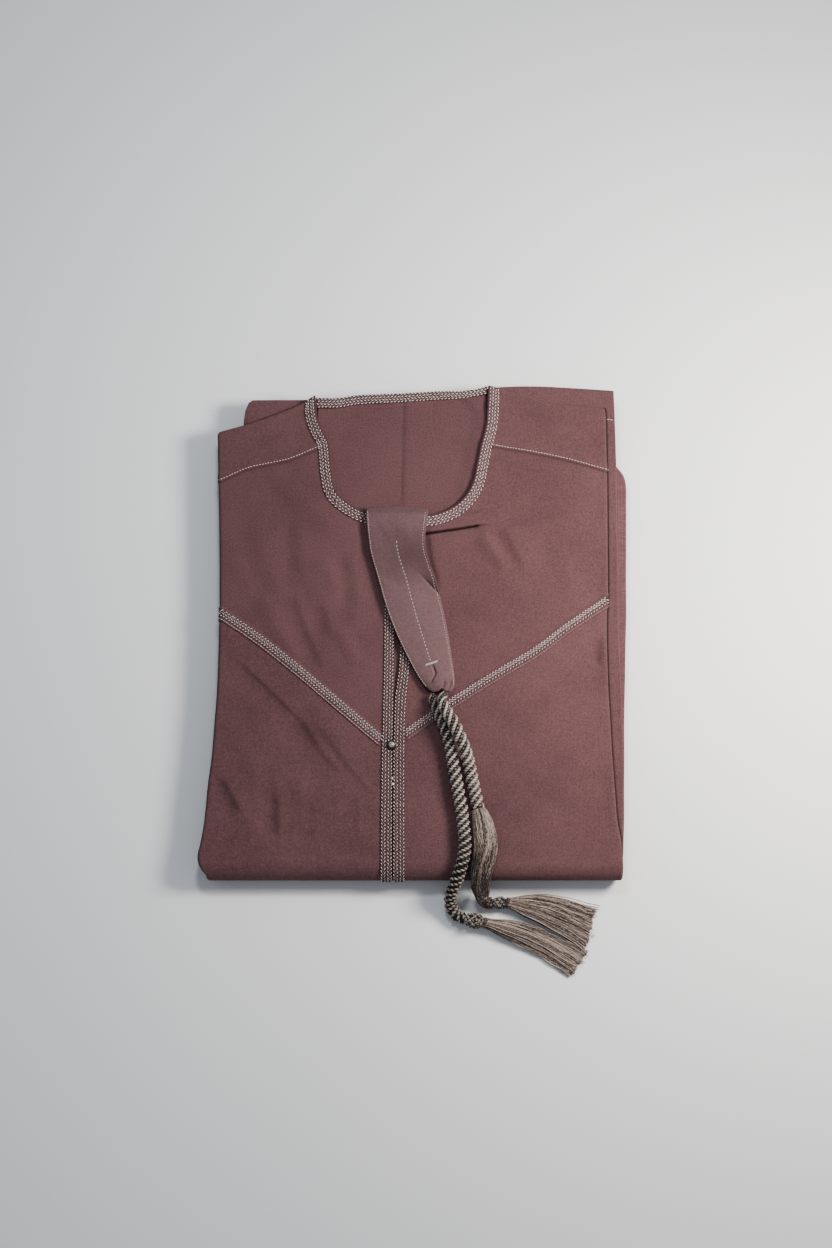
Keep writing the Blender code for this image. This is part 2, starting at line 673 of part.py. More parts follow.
def layer_ring(layer, inset, z):
    """Outline of one hidden layer, counter-clockwise from the bottom left."""
    low, high, left_in, top, wide = layer
    end = NOSE_Y + FLOOR_RUN + 0.6
    if z > NOSE_R - NOSE_FILL_R:
        end = NOSE_Y - math.sqrt(max(NOSE_FILL_R ** 2 - (z - NOSE_R) ** 2, 0.0))
    end += inset
    column = 1 if wide else 2
    right = [(row[column] - inset, row[0]) for row in RIGHT_LAYERS]
    ring = [(left_fold(-190) + 20.0, end), (0.0, end), (158.0, end), (165.0, end + 1.6)]
    ring += right
    ring += [(167.5, top - 1.5 - inset), (160.0, top - inset), (110.0, top - inset)]
    ring += [(70.0, top + 3.0 - inset), (0.0, top - inset), (-80.0, top - 2.0 - inset)]
    ring += [(-96.0, top - 6.0 - inset), (-130.0, 178.0 - inset), (-160.0, 169.0 - inset)]
    for y in (160.0, 120.0, 70.0, 20.0, -30.0, -80.0, -120.0, -150.0, -172.0, -188.0):
        ring.append((left_fold(y) + left_in + inset, y))
    ring.append((left_fold(-190) + 7.0 + inset, min(end + 4.0, -191.0)))
    ring.append((left_fold(-190) + 12.0, end + 1.2))
    return [(x, y, z) for x, y in ring]


def make_hidden_layers():
    """Everything folded away inside and behind, as one body with its layers showing at the edges."""
    rings = []
    for layer in LAYERS:
        low, high = layer[0], layer[1]
        rings.append(layer_ring(layer, LAYER_ROUND, low))
        rings.append(layer_ring(layer, 0.0, (low + high) / 2))
        rings.append(layer_ring(layer, LAYER_ROUND, high))
    loft("hidden_layers", rings, cloth())


def make_hem_end():
    """The end of the skirt, folded up behind, whose hem shows at the top and the right."""
    low = [(x, y, HEM_LOW) for x, y in HEM_OUTLINE]
    high = [(x, y, HEM_TOP) for x, y in HEM_OUTLINE]
    loft("skirt_hem", [low, high], cloth())


def make_tab():
    """The tab that folds over the neck and hangs down the front."""
    shares = [0.0, 0.25, 0.5, 0.75, 1.0]
    grid = []
    for left_x, left_y, right_x, right_y, z_left, z_mid, z_right in TAB:
        bend = line_through([(0.0, z_left), (0.5, z_mid), (1.0, z_right)])
        left, right = Vector((left_x, left_y, 0)), Vector((right_x, right_y, 0))
        grid.append([left.lerp(right, s) + Vector((0, 0, bend(s))) for s in shares])
    outer, inner = [], []
    for i, row in enumerate(grid):
        outer_row, inner_row = [], []
        for j, p in enumerate(row):
            along = grid[min(i + 1, len(grid) - 1)][j] - grid[max(i - 1, 0)][j]
            across = row[min(j + 1, len(row) - 1)] - row[max(j - 1, 0)]
            out = across.cross(along).normalized() * -1
            edge = 0.72 if j in (0, len(row) - 1) else 1.0
            outer_row.append(tuple(p + out * TAB_THICK / 2 * edge))
            inner_row.append(tuple(p - out * TAB_THICK / 2 * edge))
        outer.append(outer_row)
        inner.append(inner_row)
    slab("tab", outer, inner, tab_cloth())


def make_bead():
    x0, y0 = BEAD_PLACE
    base = lay(x0, y0, -STRIP_HEIGHT)[2] + SEAM_GAP
    rings = []
    for k in range(8):
        tilt = math.pi * (0.08 + 0.84 * k / 7)
        radius, z = BEAD_R * math.sin(tilt), base + BEAD_R * 0.84 - BEAD_R * 0.87 * math.cos(tilt)
        rings.append([
            (x0 + radius * math.cos(a), y0 + radius * math.sin(a), z)
            for a in (2 * math.pi * n / 14 for n in range(14))
        ])
    loft("bead", rings, bead_finish())


def smooth_route(rows, step):
    """Points on one smooth curve through the rows, about a step apart; every column is carried."""
    ends = [tuple(2 * a - b for a, b in zip(rows[0], rows[1]))]
    tail = [tuple(2 * a - b for a, b in zip(rows[-1], rows[-2]))]
    guide = ends + [tuple(row) for row in rows] + tail
    fine = []
    for i in range(1, len(guide) - 2):
        for k in range(12):
            t = k / 12
            fine.append(tuple(
                0.5 * (2 * b + (c - a) * t + (2 * a - 5 * b + 4 * c - d) * t * t
                       + (3 * b - a - 3 * c + d) * t ** 3)
                for a, b, c, d in zip(*guide[i - 1:i + 3])
            ))
    fine.append(tuple(rows[-1]))
    lengths = [0.0]
    for a, b in zip(fine, fine[1:]):
        lengths.append(lengths[-1] + math.dist(a[:3], b[:3]))
    count = max(round(lengths[-1] / step), 2)
    points, i = [], 0
    for k in range(count + 1):
        goal = lengths[-1] * k / count
        while i < len(fine) - 2 and lengths[i + 1] < goal:
            i += 1
        share = (goal - lengths[i]) / (lengths[i + 1] - lengths[i])
        points.append(tuple(a + (b - a) * min(share, 1.0) for a, b in zip(fine[i], fine[i + 1])))
    return points


def make_cord(name, rows):
    """A braided cord as a plain round tube along its route."""
    route = smooth_route(rows, ROUTE_STEP)
    curve = bpy.data.curves.new(name, "CURVE")
    curve.dimensions = "3D"
    curve.bevel_depth = 1.0 * MM
    curve.bevel_resolution = 2
    curve.use_fill_caps = True
    line = curve.splines.new("POLY")
    line.points.add(len(route) - 1)
    for point, (x, y, z, radius) in zip(line.points, route):
        point.co = (x * MM, y * MM, z * MM, 1.0)
        point.radius = radius
    curve.materials.append(yarn())
    made = bpy.data.objects.new(name, curve)
    bpy.context.scene.collection.objects.link(made)


def ring_round(centre, along, half_width, half_height, count, flute=0.0):
    """A ring of points across a direction, wider or flatter as asked, with flutes round it."""
    along = Vector(along).normalized()
    side = along.cross(Vector((0, 0, 1)))
    side = side.normalized() if side.length > 0.05 else Vector((1, 0, 0))
    up = side.cross(along).normalized()
    ring = []
    for n in range(count):
        a = 2 * math.pi * n / count
        grow = 1 + flute * (0.5 if n % 2 else -0.5)
        p = Vector(centre) + side * half_width * grow * math.cos(a)
        p += up * half_height * grow * math.sin(a)
        ring.append(tuple(p))
    return ring


def make_floss():
    """The loose strands between the right cord and its knot, as one fluted bundle."""
    route = smooth_route(FLOSS, 6.5)
    rings = []
    for i, (x, y, z, half_width, half_height) in enumerate(route):
        before, after = route[max(i - 1, 0)], route[min(i + 1, len(route) - 1)]
        along = [b - a for a, b in zip(before[:3], after[:3])]
        rings.append(ring_round((x, y, z), along, half_width, half_height, 16, 0.10))
    loft("floss_right", rings, yarn())


def make_knot(name, start, end, radius):
    """A wrapped knot: three swollen turns round the cord's line."""
    start, end = Vector(start), Vector(end)
    rings = []
    steps = 12
    for k in range(steps + 1):
        t = k / steps
        body = math.sin(math.pi * (0.14 + 0.72 * t)) ** 0.6
        turns = 1 + 0.07 * math.cos(2 * math.pi * 3 * t)
        r = radius * body * turns
        rings.append(ring_round(start.lerp(end, t), end - start, r, r, 14))
    loft(name, rings, yarn())


def make_tassel(name, fan):
    """A bound head whose end face is divided into roots, with one strand drawn out of each root."""
    neck = Vector(fan["neck"])
    across = Vector((*fan["across"], 0)).normalized()
    near, far = Vector((*fan["near"], 0)), Vector((*fan["far"], 0))
    forward = Vector((-across.y, across.x, 0))
    if forward.dot(near - neck) < 0:
        forward = -forward
    head_length, head_half, head_high = 7.0, 4.6, 4.2
    wide, high = TASSEL_ACROSS, TASSEL_UP
    root_pitch, end_pitch = 1.8 * head_half / wide, (near - far).length / wide * 0.94
    points, faces = [], []

    def add(p):
        points.append(tuple(p))
        return len(points) - 1

    def grid_point(i, j, shift, grow):
        a, b = 2 * i / wide - 1, 2 * j / high - 1
        flat = math.sqrt(1 - 0.35 * b * b)
        place = neck + forward * shift + across * head_half * grow * a * flat
        return place + Vector((0, 0, head_high * grow * b))

    root = [
        [add(grid_point(i, j, head_length, 1.0)) for j in range(high + 1)] for i in range(wide + 1)
    ]
    rim = [(i, 0) for i in range(wide)] + [(wide, j) for j in range(high)]
    rim += [(i, high) for i in range(wide, 0, -1)] + [(0, j) for j in range(high, 0, -1)]
    rings = [[root[i][j] for i, j in rim]]
    for shift, grow in ((4.0, 1.06), (1.6, 0.95), (0.0, 0.66)):
        rings.append([add(grid_point(i, j, shift, grow)) for i, j in rim])
    count = len(rim)
    for a, b in zip(rings, rings[1:]):
        for k in range(count):
            faces.append((a[k], a[(k + 1) % count], b[(k + 1) % count], b[k]))
    faces.append(tuple(rings[-1]))

    for i in range(wide):
        for j in range(high):
            corners = [root[i][j], root[i + 1][j], root[i + 1][j + 1], root[i][j + 1]]
            middle = sum((Vector(points[c]) for c in corners), Vector()) / 4
            a, b = 2 * (i + 0.5) / wide - 1, (j + 0.5) / high
            share = 0.5 - 0.5 * a if across.dot(near - far) > 0 else 0.5 + 0.5 * a
            goal = near.lerp(far, share)
            ragged = 1 - 0.035 * math.sin(7.0 * i + 3.0 * j)
            ring = corners
            loops = []
            for t in (0.02, 0.34, 0.68, 1.0):
                ahead = goal - Vector((middle.x, middle.y, 0))
                bow = across * fan["bow"] * math.sin(math.pi * t)
                side = Vector((ahead.y, -ahead.x, 0)).normalized()
                if side.dot(across) < 0:
                    side = -side
                centre = Vector((middle.x, middle.y, 0)) + ahead * t * ragged + bow
                rest = STRAND_LOW + STRAND_LAYER * j
                rise = middle.z + (rest - middle.z) * ease(t * 1.2)
                rise += fan["lift"] * math.sin(math.pi * t) * b
                half_side = 0.38 * (root_pitch + (end_pitch - root_pitch) * t)
                loops.append([
                    add(centre - side * half_side + Vector((0, 0, rise - STRAND_HALF_UP))),
                    add(centre + side * half_side + Vector((0, 0, rise - STRAND_HALF_UP))),
                    add(centre + side * half_side + Vector((0, 0, rise + STRAND_HALF_UP))),
                    add(centre - side * half_side + Vector((0, 0, rise + STRAND_HALF_UP))),
                ])
            for loop in loops:
                for k in range(4):
                    faces.append((ring[k], ring[(k + 1) % 4], loop[(k + 1) % 4], loop[k]))
                ring = loop
            faces.append(tuple(ring))
    solid(name, points, faces, yarn(), smooth=False)


def build():
    clear_scene()
    make_hidden_layers()
    make_hem_end()
    make_back()
    make_yokes()
    make_chests()
    make_skirts()
    make_placket()
    make_neck_bands()
    make_tab()
    make_bead()
    make_cord("cord_left", LEFT_CORD)
    make_cord("cord_right", RIGHT_CORD)
    make_floss()
    make_knot("knot_left", *LEFT_KNOT)
    make_knot("knot_right", *RIGHT_KNOT)
    make_tassel("tassel_left", LEFT_TASSEL)
    make_tassel("tassel_right", RIGHT_TASSEL)


build()
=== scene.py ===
import itertools
import math

import bpy
import numpy as np
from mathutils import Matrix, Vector


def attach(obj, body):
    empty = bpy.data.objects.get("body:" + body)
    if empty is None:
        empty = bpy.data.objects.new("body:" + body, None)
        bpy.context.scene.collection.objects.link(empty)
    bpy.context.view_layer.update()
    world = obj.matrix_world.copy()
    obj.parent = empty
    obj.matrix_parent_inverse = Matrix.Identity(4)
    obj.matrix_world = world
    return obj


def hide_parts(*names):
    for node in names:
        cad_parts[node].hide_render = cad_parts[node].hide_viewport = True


# A long robe folded flat, face up, with its neck tab, cords and tassels.
# Tables are in millimetres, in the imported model's own frame, and meshes are made in metres.

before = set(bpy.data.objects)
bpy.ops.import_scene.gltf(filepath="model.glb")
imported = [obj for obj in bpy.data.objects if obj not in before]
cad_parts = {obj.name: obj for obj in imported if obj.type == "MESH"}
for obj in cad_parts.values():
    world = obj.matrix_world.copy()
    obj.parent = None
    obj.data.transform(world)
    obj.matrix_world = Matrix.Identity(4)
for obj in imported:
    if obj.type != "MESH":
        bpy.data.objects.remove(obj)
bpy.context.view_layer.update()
mm = 0.001
chance = np.random.default_rng(11)
print("frame loaded with", len(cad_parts), "nodes")

view = {"aim": (-0.0005, 0.0015, 0.028), "distance": 1.768, "elevation": 78.0, "lens": 60.0, "sensor": 36.0}


def makeCamera():
    data = bpy.data.cameras.new("camera")
    data.lens = view["lens"]
    data.sensor_width = view["sensor"]
    up = math.radians(view["elevation"])
    camera = bpy.data.objects.new("camera", data)
    back = Vector((0, -math.cos(up), math.sin(up)))
    camera.location = Vector(view["aim"]) + back * view["distance"]
    camera.rotation_euler = (math.radians(90) - up, 0, 0)
    bpy.context.scene.collection.objects.link(camera)
    bpy.context.scene.camera = camera


makeCamera()


# Shader building

class Part:  # a value in a shader that takes part in ordinary sums
    def __init__(self, shader, socket):
        self.shader = shader
        self.socket = socket

    def __add__(self, other):
        return self.shader.maths("ADD", self, other)

    def __radd__(self, other):
        return self.shader.maths("ADD", other, self)

    def __sub__(self, other):
        return self.shader.maths("SUBTRACT", self, other)

    def __rsub__(self, other):
        return self.shader.maths("SUBTRACT", other, self)

    def __mul__(self, other):
        return self.shader.maths("MULTIPLY", self, other)

    def __rmul__(self, other):
        return self.shader.maths("MULTIPLY", other, self)


class Shader:
    def __init__(self, name):
        self.material = bpy.data.materials.new(name)
        self.material.use_nodes = True
        self.tree = self.material.node_tree
        self.tree.nodes.clear()

    def find(self, sockets, key):
        if isinstance(key, int):
            return sockets[key]
        for socket in sockets:
            if key in (socket.identifier, socket.name):
                return socket
        raise KeyError(key)

    def node(self, kind, settings=None, inputs=None, output=0):
        made = self.tree.nodes.new("ShaderNode" + kind)
        for key, value in (settings or {}).items():
            setattr(made, key, value)
        for key, value in (inputs or {}).items():
            socket = self.find(made.inputs, key)
            if isinstance(value, Part):
                self.tree.links.new(value.socket, socket)
            elif isinstance(value, tuple) and len(socket.default_value) == 4:
                socket.default_value = (*value, 1.0)
            else:
                socket.default_value = value
        return Part(self, self.find(made.outputs, output)) if len(made.outputs) else None

    def maths(self, operation, a, b=0.0):
        return self.node("Math", {"operation": operation}, {0: a, 1: b})

    def mix(self, factor, a, b, blend="MIX"):
        settings = {"data_type": "RGBA", "blend_type": blend}
        inputs = {"Factor_Float": factor, "A_Color": a, "B_Color": b}
        return self.node("Mix", settings, inputs, "Result_Color")

    def scaled(self, vector, scale):
        return self.node("VectorMath", {"operation": "MULTIPLY"}, {0: vector, 1: scale}, "Vector")

    def noise(self, vector, detail=2.0, rough=0.5):
        inputs = {"Vector": vector, "Scale": 1.0, "Detail": detail, "Roughness": rough}
        return self.node("TexNoise", None, inputs, "Fac")

    def clamped(self, value):
        return self.node("Clamp", None, {"Value": value}, "Result")

    def attribute(self, name, output):
        return self.node("Attribute", {"attribute_name": name}, None, output)

    def grain(self, scale, detail=2.0, rough=0.5):  # noise in the piece's own space
        place = self.node("TexCoord", None, None, "Object")
        return self.noise(self.scaled(place, (scale,) * 3), detail, rough)

    def bump(self, height, strength, distance):
        inputs = {"Strength": strength, "Distance": distance, "Height": height}
        return self.node("Bump", None, inputs, "Normal")

    def finish(self, inputs):
        surface = self.node("BsdfPrincipled", None, inputs, "BSDF")
        self.node("OutputMaterial", None, {"Surface": surface})
        return self.material


# Finishes: colours are linear, lengths in millimetres, and grain in noise cells to the metre

# In the cloth looks, deep is the colour of painted shade, which the tone attribute pulls the cloth towards
clothLook = {
    "dark": (0.121, 0.0605, 0.067), "light": (0.221, 0.115, 0.116), "thread": 0.62, "broad": 85.0,
    "sheen": 0.10, "sheenTint": (0.80, 0.62, 0.62), "deep": (0.016, 0.007, 0.007),
}
tabLook = {
    "dark": (0.174, 0.104, 0.108), "light": (0.278, 0.169, 0.169), "thread": 0.62, "broad": 40.0,
    "sheen": 0.12, "sheenTint": (0.82, 0.70, 0.72), "deep": (0.040, 0.020, 0.024),
}
stitchLook = {
    "dark": (0.16, 0.11, 0.10), "light": (0.78, 0.70, 0.67), "grain": 900.0, "rough": 0.62, "fleck": 0.35,
}
yarnLook = {
    "dark": (0.020, 0.014, 0.013), "light": (0.66, 0.57, 0.50), "grain": 1600.0, "rough": 0.55, "fleck": 0.45,
}
tasselLook = {
    "dark": (0.030, 0.020, 0.017), "light": (0.44, 0.35, 0.30), "grain": 750.0, "rough": 0.58, "fleck": 1.3,
}
metalLook = {"dark": (0.035, 0.028, 0.025), "light": (0.52, 0.47, 0.42), "worn": 900.0, "fine": 4000.0}
weaving = {"heather": 0.75, "yarnAcross": 1.5, "yarnAlong": 0.045, "rough": 0.97, "depth": 0.0004}


def clothMaterial(name, look):
    shader = Shader(name)
    flat = shader.attribute("flat", "Vector")
    per = 2 * math.pi / look["thread"]
    threads = shader.scaled(flat, (per, per, 1.0))
    across, along = (shader.node("SeparateXYZ", None, {0: threads}, axis) for axis in "XY")
    weave = shader.maths("SINE", across) * shader.maths("SINE", along)
    broad = shader.noise(shader.scaled(flat, (1 / look["broad"],) * 3), 3.0, 0.55)
    heather = shader.noise(shader.scaled(flat, (weaving["heather"],) * 3), 3.0, 0.65)
    wide, long = weaving["yarnAcross"], weaving["yarnAlong"]
    warp = shader.noise(shader.scaled(flat, (wide, long, 1.0)), 1.0)
    weft = shader.noise(shader.scaled(flat, (long, wide, 1.0)), 1.0)
    tone = (broad - 0.5) * 0.9 + (heather - 0.5) * 2.1 + (warp + weft - 1.0) * 0.35
    tone = shader.clamped(tone + weave * 0.10 + 0.5)
    colour = shader.mix(tone, look["dark"], look["light"])
    # Painted shade: where the tone attribute is below a half, the cloth's colour goes towards deep
    unshaded = shader.clamped(shader.attribute("tone", "Fac") * 2.0)
    height = weave * 0.5 + (warp + weft) * 0.5 + heather * 0.5
    return shader.finish({
        "Base Color": shader.mix(unshaded, look["deep"], colour),
        "Roughness": shader.clamped(weaving["rough"] - heather * 0.16),
        "Normal": shader.bump(height, 0.7, weaving["depth"]), "Sheen Weight": look["sheen"],
        "Sheen Roughness": 0.45, "Sheen Tint": look["sheenTint"], "Specular IOR Level": 0.25,
    })


def threadMaterial(name, look):
    shader = Shader(name)
    grain = shader.grain(look["grain"])
    share = shader.clamped(shader.attribute("tone", "Fac") + (grain - 0.5) * look["fleck"])
    return shader.finish({
        "Base Color": shader.mix(share, look["dark"], look["light"]),
        "Roughness": shader.clamped(look["rough"] + (grain - 0.5) * 0.3),
        "Normal": shader.bump(grain, 0.5, 0.0002), "Sheen Weight": 0.25, "Sheen Roughness": 0.4,
        "Specular IOR Level": 0.35,
    })


def metalMaterial(name, look):
    shader = Shader(name)
    worn, fine = shader.grain(look["worn"], 3.0, 0.6), shader.grain(look["fine"])
    share = shader.clamped(shader.attribute("tone", "Fac") + worn * 0.9 - 0.45)
    return shader.finish({
        "Base Color": shader.mix(share, look["dark"], look["light"]),
        "Metallic": 0.80, "Roughness": shader.clamped(0.26 + fine * 0.3),
        "Normal": shader.bump(fine, 0.25, 0.0001),
    })


finishes = {
    "cloth": clothMaterial("rose_brown_cloth", clothLook),
    "tab": clothMaterial("tab_cloth", tabLook),
    "stitch": threadMaterial("sewing_thread", stitchLook),
    "yarn": threadMaterial("braid_yarn", yarnLook),
    "tassel": threadMaterial("tassel_thread", tasselLook),
    "metal": metalMaterial("snap_metal", metalLook),
}
print("finishes made:", len(finishes))


# Shared shapes

def ease(t):  # from 0 to 1 with soft ends
    t = np.clip(t, 0.0, 1.0)
    return t * t * (3 - 2 * t)


def bell(away, width):  # 1 in the middle, softly down to 0 on both sides
    return np.exp(-(away / width) ** 2)


def ends(along, rate, start):  # fades a line out towards both its ends
    return ease(rate * along + start) * ease(rate * (1 - along) + start)


def lengthAlong(points):
    return np.concatenate([[0], np.cumsum(np.linalg.norm(np.diff(points, axis=0), axis=1))])


def around(angles, ahead, beside):  # directions round an axis
    return ahead * np.cos(angles)[:, None] + beside * np.sin(angles)[:, None]


def stacked(x, y, z):
    return np.stack(np.broadcast_arrays(x, y, z), -1)


def unit(vectors):
    return vectors / np.maximum(np.linalg.norm(vectors, axis=-1, keepdims=True), 1e-9)


def curveThrough(rows, column=1):  # the smooth line of the solids, which never overshoots its rows
    xs = np.array([row[0] for row in rows], float)
    ys = np.array([row[column] for row in rows], float)
    steps = np.diff(ys) / np.diff(xs)
    before, after = steps[:-1], steps[1:]
    together = before * after > 0
    inner = np.where(together, 2 * before * after / np.where(together, before + after, 1.0), 0.0)
    slopes = np.concatenate([steps[:1], inner, steps[-1:]])

    def value(x):
        x = np.clip(x, xs[0], xs[-1])
        i = np.clip(np.searchsorted(xs, x, side="right") - 1, 0, len(xs) - 2)
        width = xs[i + 1] - xs[i]
        t = (x - xs[i]) / width
        start = ys[i] * (1 + 2 * t) * (1 - t) ** 2 + slopes[i] * width * t * (1 - t) ** 2
        return start + ys[i + 1] * t * t * (3 - 2 * t) + slopes[i + 1] * width * t * t * (t - 1)

    return value


def toLine(x, y, x0, y0, x1, y1):  # distance from a stretch, share along it, and signed side of it
    long = math.hypot(x1 - x0, y1 - y0)
    alongX, alongY = (x1 - x0) / long, (y1 - y0) / long
    along = np.clip(((x - x0) * alongX + (y - y0) * alongY) / long, 0, 1)
    away = np.hypot(x - x0 - along * (x1 - x0), y - y0 - along * (y1 - y0))
    side = (y - y0) * alongX - (x - x0) * alongY
    return away, along, side


def toPath(x, y, points):  # the same for a line of several stretches
    stretches = list(zip(points, points[1:]))
    lengths = [math.dist(a, b) for a, b in stretches]
    away, share, side = np.full(np.shape(x), 1e9), np.zeros(np.shape(x)), np.zeros(np.shape(x))
    start = 0.0
    for (a, b), long in zip(stretches, lengths):
        here, along, beside = toLine(x, y, *a, *b)
        share = np.where(here < away, (start + along * long) / sum(lengths), share)
        side = np.where(here < away, beside, side)
        away = np.minimum(here, away)
        start += long
    return away, share, side


class Bundle:  # what goes into one mesh, gathered before it is made
    def __init__(self):
        self.points = []
        self.faces = []
        self.tones = []
        self.flats = []
        self.count = 0

    def add(self, points, faces, tones=0.5, flats=None):
        points = np.asarray(points, float).reshape(-1, 3)
        self.points.append(points)
        self.faces += [[corner + self.count for corner in face] for face in faces]
        self.tones.append(np.broadcast_to(np.asarray(tones, float).ravel(), len(points)))
        self.flats.append(points if flats is None else np.asarray(flats, float).reshape(-1, 3))
        self.count += len(points)

    def wall(self, outer, inner, tones, flats):  # two matching grids and the rim between them
        points = np.concatenate([outer.reshape(-1, 3), inner.reshape(-1, 3)])
        flats = np.concatenate([flats.reshape(-1, 3)] * 2)
        self.add(points, wallFaces(*outer.shape[:2]), np.concatenate([tones.ravel()] * 2), flats)

    def loft(self, rings, tones, flats=None):  # a closed body through rings of points
        rings = np.asarray(rings, float)
        many, count = rings.shape[:2]
        points = rings.reshape(-1, 3)
        i, j = np.meshgrid(np.arange(many - 1), np.arange(count), indexing="ij")
        a, b = i * count + j, i * count + (j + 1) % count
        quads = np.stack([a, b, b + count, a + count], -1).reshape(-1, 4)
        last = (many - 1) * count
        faces = quads.tolist() + [list(range(count))[::-1], list(range(last, last + count))]
        a, b, c, d = (points[quads[:, k]] for k in range(4))
        if (a * (np.cross(b, c) + np.cross(c, d))).sum() <= 0:  # it would be inside out
            faces = [face[::-1] for face in faces]
        self.add(points, faces, tones, flats)

    def tubes(self, lines, radii, sides=4, tones=0.5):
        lines = np.asarray(lines, float)
        many, rings = lines.shape[:2]
        along = unit(np.gradient(lines, axis=1))
        normal = np.empty_like(lines)
        first = np.cross(along[:, 0], (0.0, 0.0, 1.0))
        weak = np.linalg.norm(first, axis=1) < 0.05
        first[weak] = np.cross(along[weak, 0], (1.0, 0.0, 0.0))
        normal[:, 0] = unit(first)
        for i in range(1, rings):
            before = normal[:, i - 1]
            normal[:, i] = unit(before - along[:, i] * (before * along[:, i]).sum(1, keepdims=True))
        side = np.cross(along, normal)
        angles = 2 * math.pi * (np.arange(sides) + 0.5) / sides
        radii = np.broadcast_to(np.asarray(radii, float), (many, rings))[:, :, None, None]
        ring = normal[:, :, None] * np.cos(angles)[:, None] + side[:, :, None] * np.sin(angles)[:, None]
        points = lines[:, :, None] + ring * radii
        tube, i, j = np.meshgrid(np.arange(many), np.arange(rings - 1), np.arange(sides), indexing="ij")
        a = (tube * rings + i) * sides + j
        b = (tube * rings + i) * sides + (j + 1) % sides
        quads = np.stack([a, a + sides, b + sides, b], -1).reshape(-1, 4)
        first = np.arange(many)[:, None] * rings * sides + np.arange(sides)
        last = first + (rings - 1) * sides
        tones = np.asarray(tones, float)
        tones = tones[:, None] if tones.ndim == 1 else tones
        tones = np.broadcast_to(tones, (many, rings))[:, :, None]
        faces = quads.tolist() + first.tolist() + last[:, ::-1].tolist()
        self.add(points, faces, np.broadcast_to(tones, (many, rings, sides)))

    def make(self, name, finish, slot, replaced=()):
        mesh = bpy.data.meshes.new(name)
        mesh.from_pydata((np.concatenate(self.points) * mm).tolist(), [], self.faces)
        tone = mesh.attributes.new("tone", "FLOAT", "POINT")
        tone.data.foreach_set("value", np.concatenate(self.tones).astype(np.float32))
        flat = mesh.attributes.new("flat", "FLOAT_VECTOR", "POINT")
        flat.data.foreach_set("vector", np.concatenate(self.flats).astype(np.float32).ravel())
        mesh.materials.append(finishes[finish])
        mesh.shade_smooth()
        mesh.set_sharp_from_angle(angle=math.radians(50))
        piece = bpy.data.objects.new(name, mesh)
        bpy.context.scene.collection.objects.link(piece)
        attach(piece, "root")
        if replaced:
            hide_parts(*replaced)
        print(name, sum(len(face) - 2 for face in self.faces), "triangles")
        return piece

    def clothPiece(self, node):
        return self.make(node + "_cloth", "cloth", "cloth", (node,))

    def stitching(self, name):
        self.make(name + "_stitching", "stitch", "yarn")


def wallFaces(rows, columns):  # faces of two matching grids and the rim between them
    count = rows * columns
    i, j = np.meshgrid(np.arange(rows - 1), np.arange(columns - 1), indexing="ij")
    a = (i * columns + j).ravel()
    outer = np.stack([a, a + 1, a + columns + 1, a + columns], -1)
    faces = outer.tolist() + (outer[:, ::-1] + count).tolist()
    rim = list(range(columns)) + [k * columns + columns - 1 for k in range(1, rows)]
    rim += [(rows - 1) * columns + k for k in range(columns - 2, -1, -1)]
    rim += [k * columns for k in range(rows - 2, 0, -1)]
    return faces + [[b, a, a + count, b + count] for a, b in zip(rim, rim[1:] + rim[:1])]


def normalsOf(grid):
    return unit(np.cross(np.gradient(grid, axis=1), np.gradient(grid, axis=0)))


# Cords, first of the pieces. Routes listed, the same points as the solids' tubes

leftCordRoute = [
    # x,    y,     z,    radius
    (12.5, -60.0, 33.2, 2.9),
    (14.4, -66.5, 33.2, 4.0),
    (18.0, -75.0, 33.8, 5.0),
    (22.4, -85.0, 34.6, 5.4),
    (26.4, -96.5, 34.4, 5.6),
    (29.0, -108.0, 34.0, 5.6),
    (31.0, -120.0, 33.8, 5.6),
    (33.0, -133.0, 33.6, 5.6),
    (35.3, -146.0, 33.4, 5.6),
    (37.5, -157.0, 33.2, 5.6),
    (38.8, -168.0, 33.0, 5.6),
    (39.9, -181.0, 32.7, 5.6),
    (39.8, -191.0, 32.6, 5.6),
    (38.2, -200.5, 32.4, 5.6),
    (35.2, -210.0, 30.2, 5.6),
    (31.8, -218.2, 24.8, 5.6),
    (29.0, -225.2, 17.0, 5.6),
    (28.2, -232.4, 10.4, 5.6),
    (30.4, -239.0, 6.9, 5.6),
    (34.8, -243.8, 6.1, 5.6),
    (39.6, -245.2, 6.1, 5.4),
]
rightCordRoute = [
    # x,    y,     z,    radius
    (23.0, -60.0, 37.4, 3.3),
    (21.6, -68.0, 41.4, 4.5),
    (25.2, -76.5, 43.0, 5.2),
    (30.6, -86.0, 43.6, 5.5),
    (36.0, -98.0, 42.4, 5.6),
    (40.4, -108.5, 39.2, 5.6),
    (44.0, -120.0, 35.2, 5.6),
    (46.4, -133.0, 33.8, 5.6),
    (49.0, -146.0, 33.5, 5.6),
    (51.2, -155.5, 33.3, 5.4),
]
flossRoute = [  # the right cord's loose stretch
    # x,    y,     z,    half width, half height
    (51.6, -157.2, 33.3, 5.2, 5.2),
    (52.6, -161.0, 33.4, 6.6, 5.8),
    (55.1, -170.0, 33.0, 8.3, 5.7),
    (56.9, -180.0, 32.7, 9.3, 5.4),
    (57.3, -190.0, 32.4, 9.4, 5.2),
    (55.6, -200.0, 32.0, 8.8, 5.0),
    (53.6, -210.2, 30.0, 8.4, 4.9),
    (53.0, -218.6, 23.4, 7.6, 4.8),
    (54.0, -224.6, 15.2, 6.6, 4.8),
    (55.2, -228.8, 9.8, 5.2, 4.8),
    (57.6, -231.6, 6.4, 4.7, 4.7),
    (60.4, -232.6, 5.5, 4.7, 4.7),
    (63.6, -232.4, 5.5, 4.6, 4.6),
]


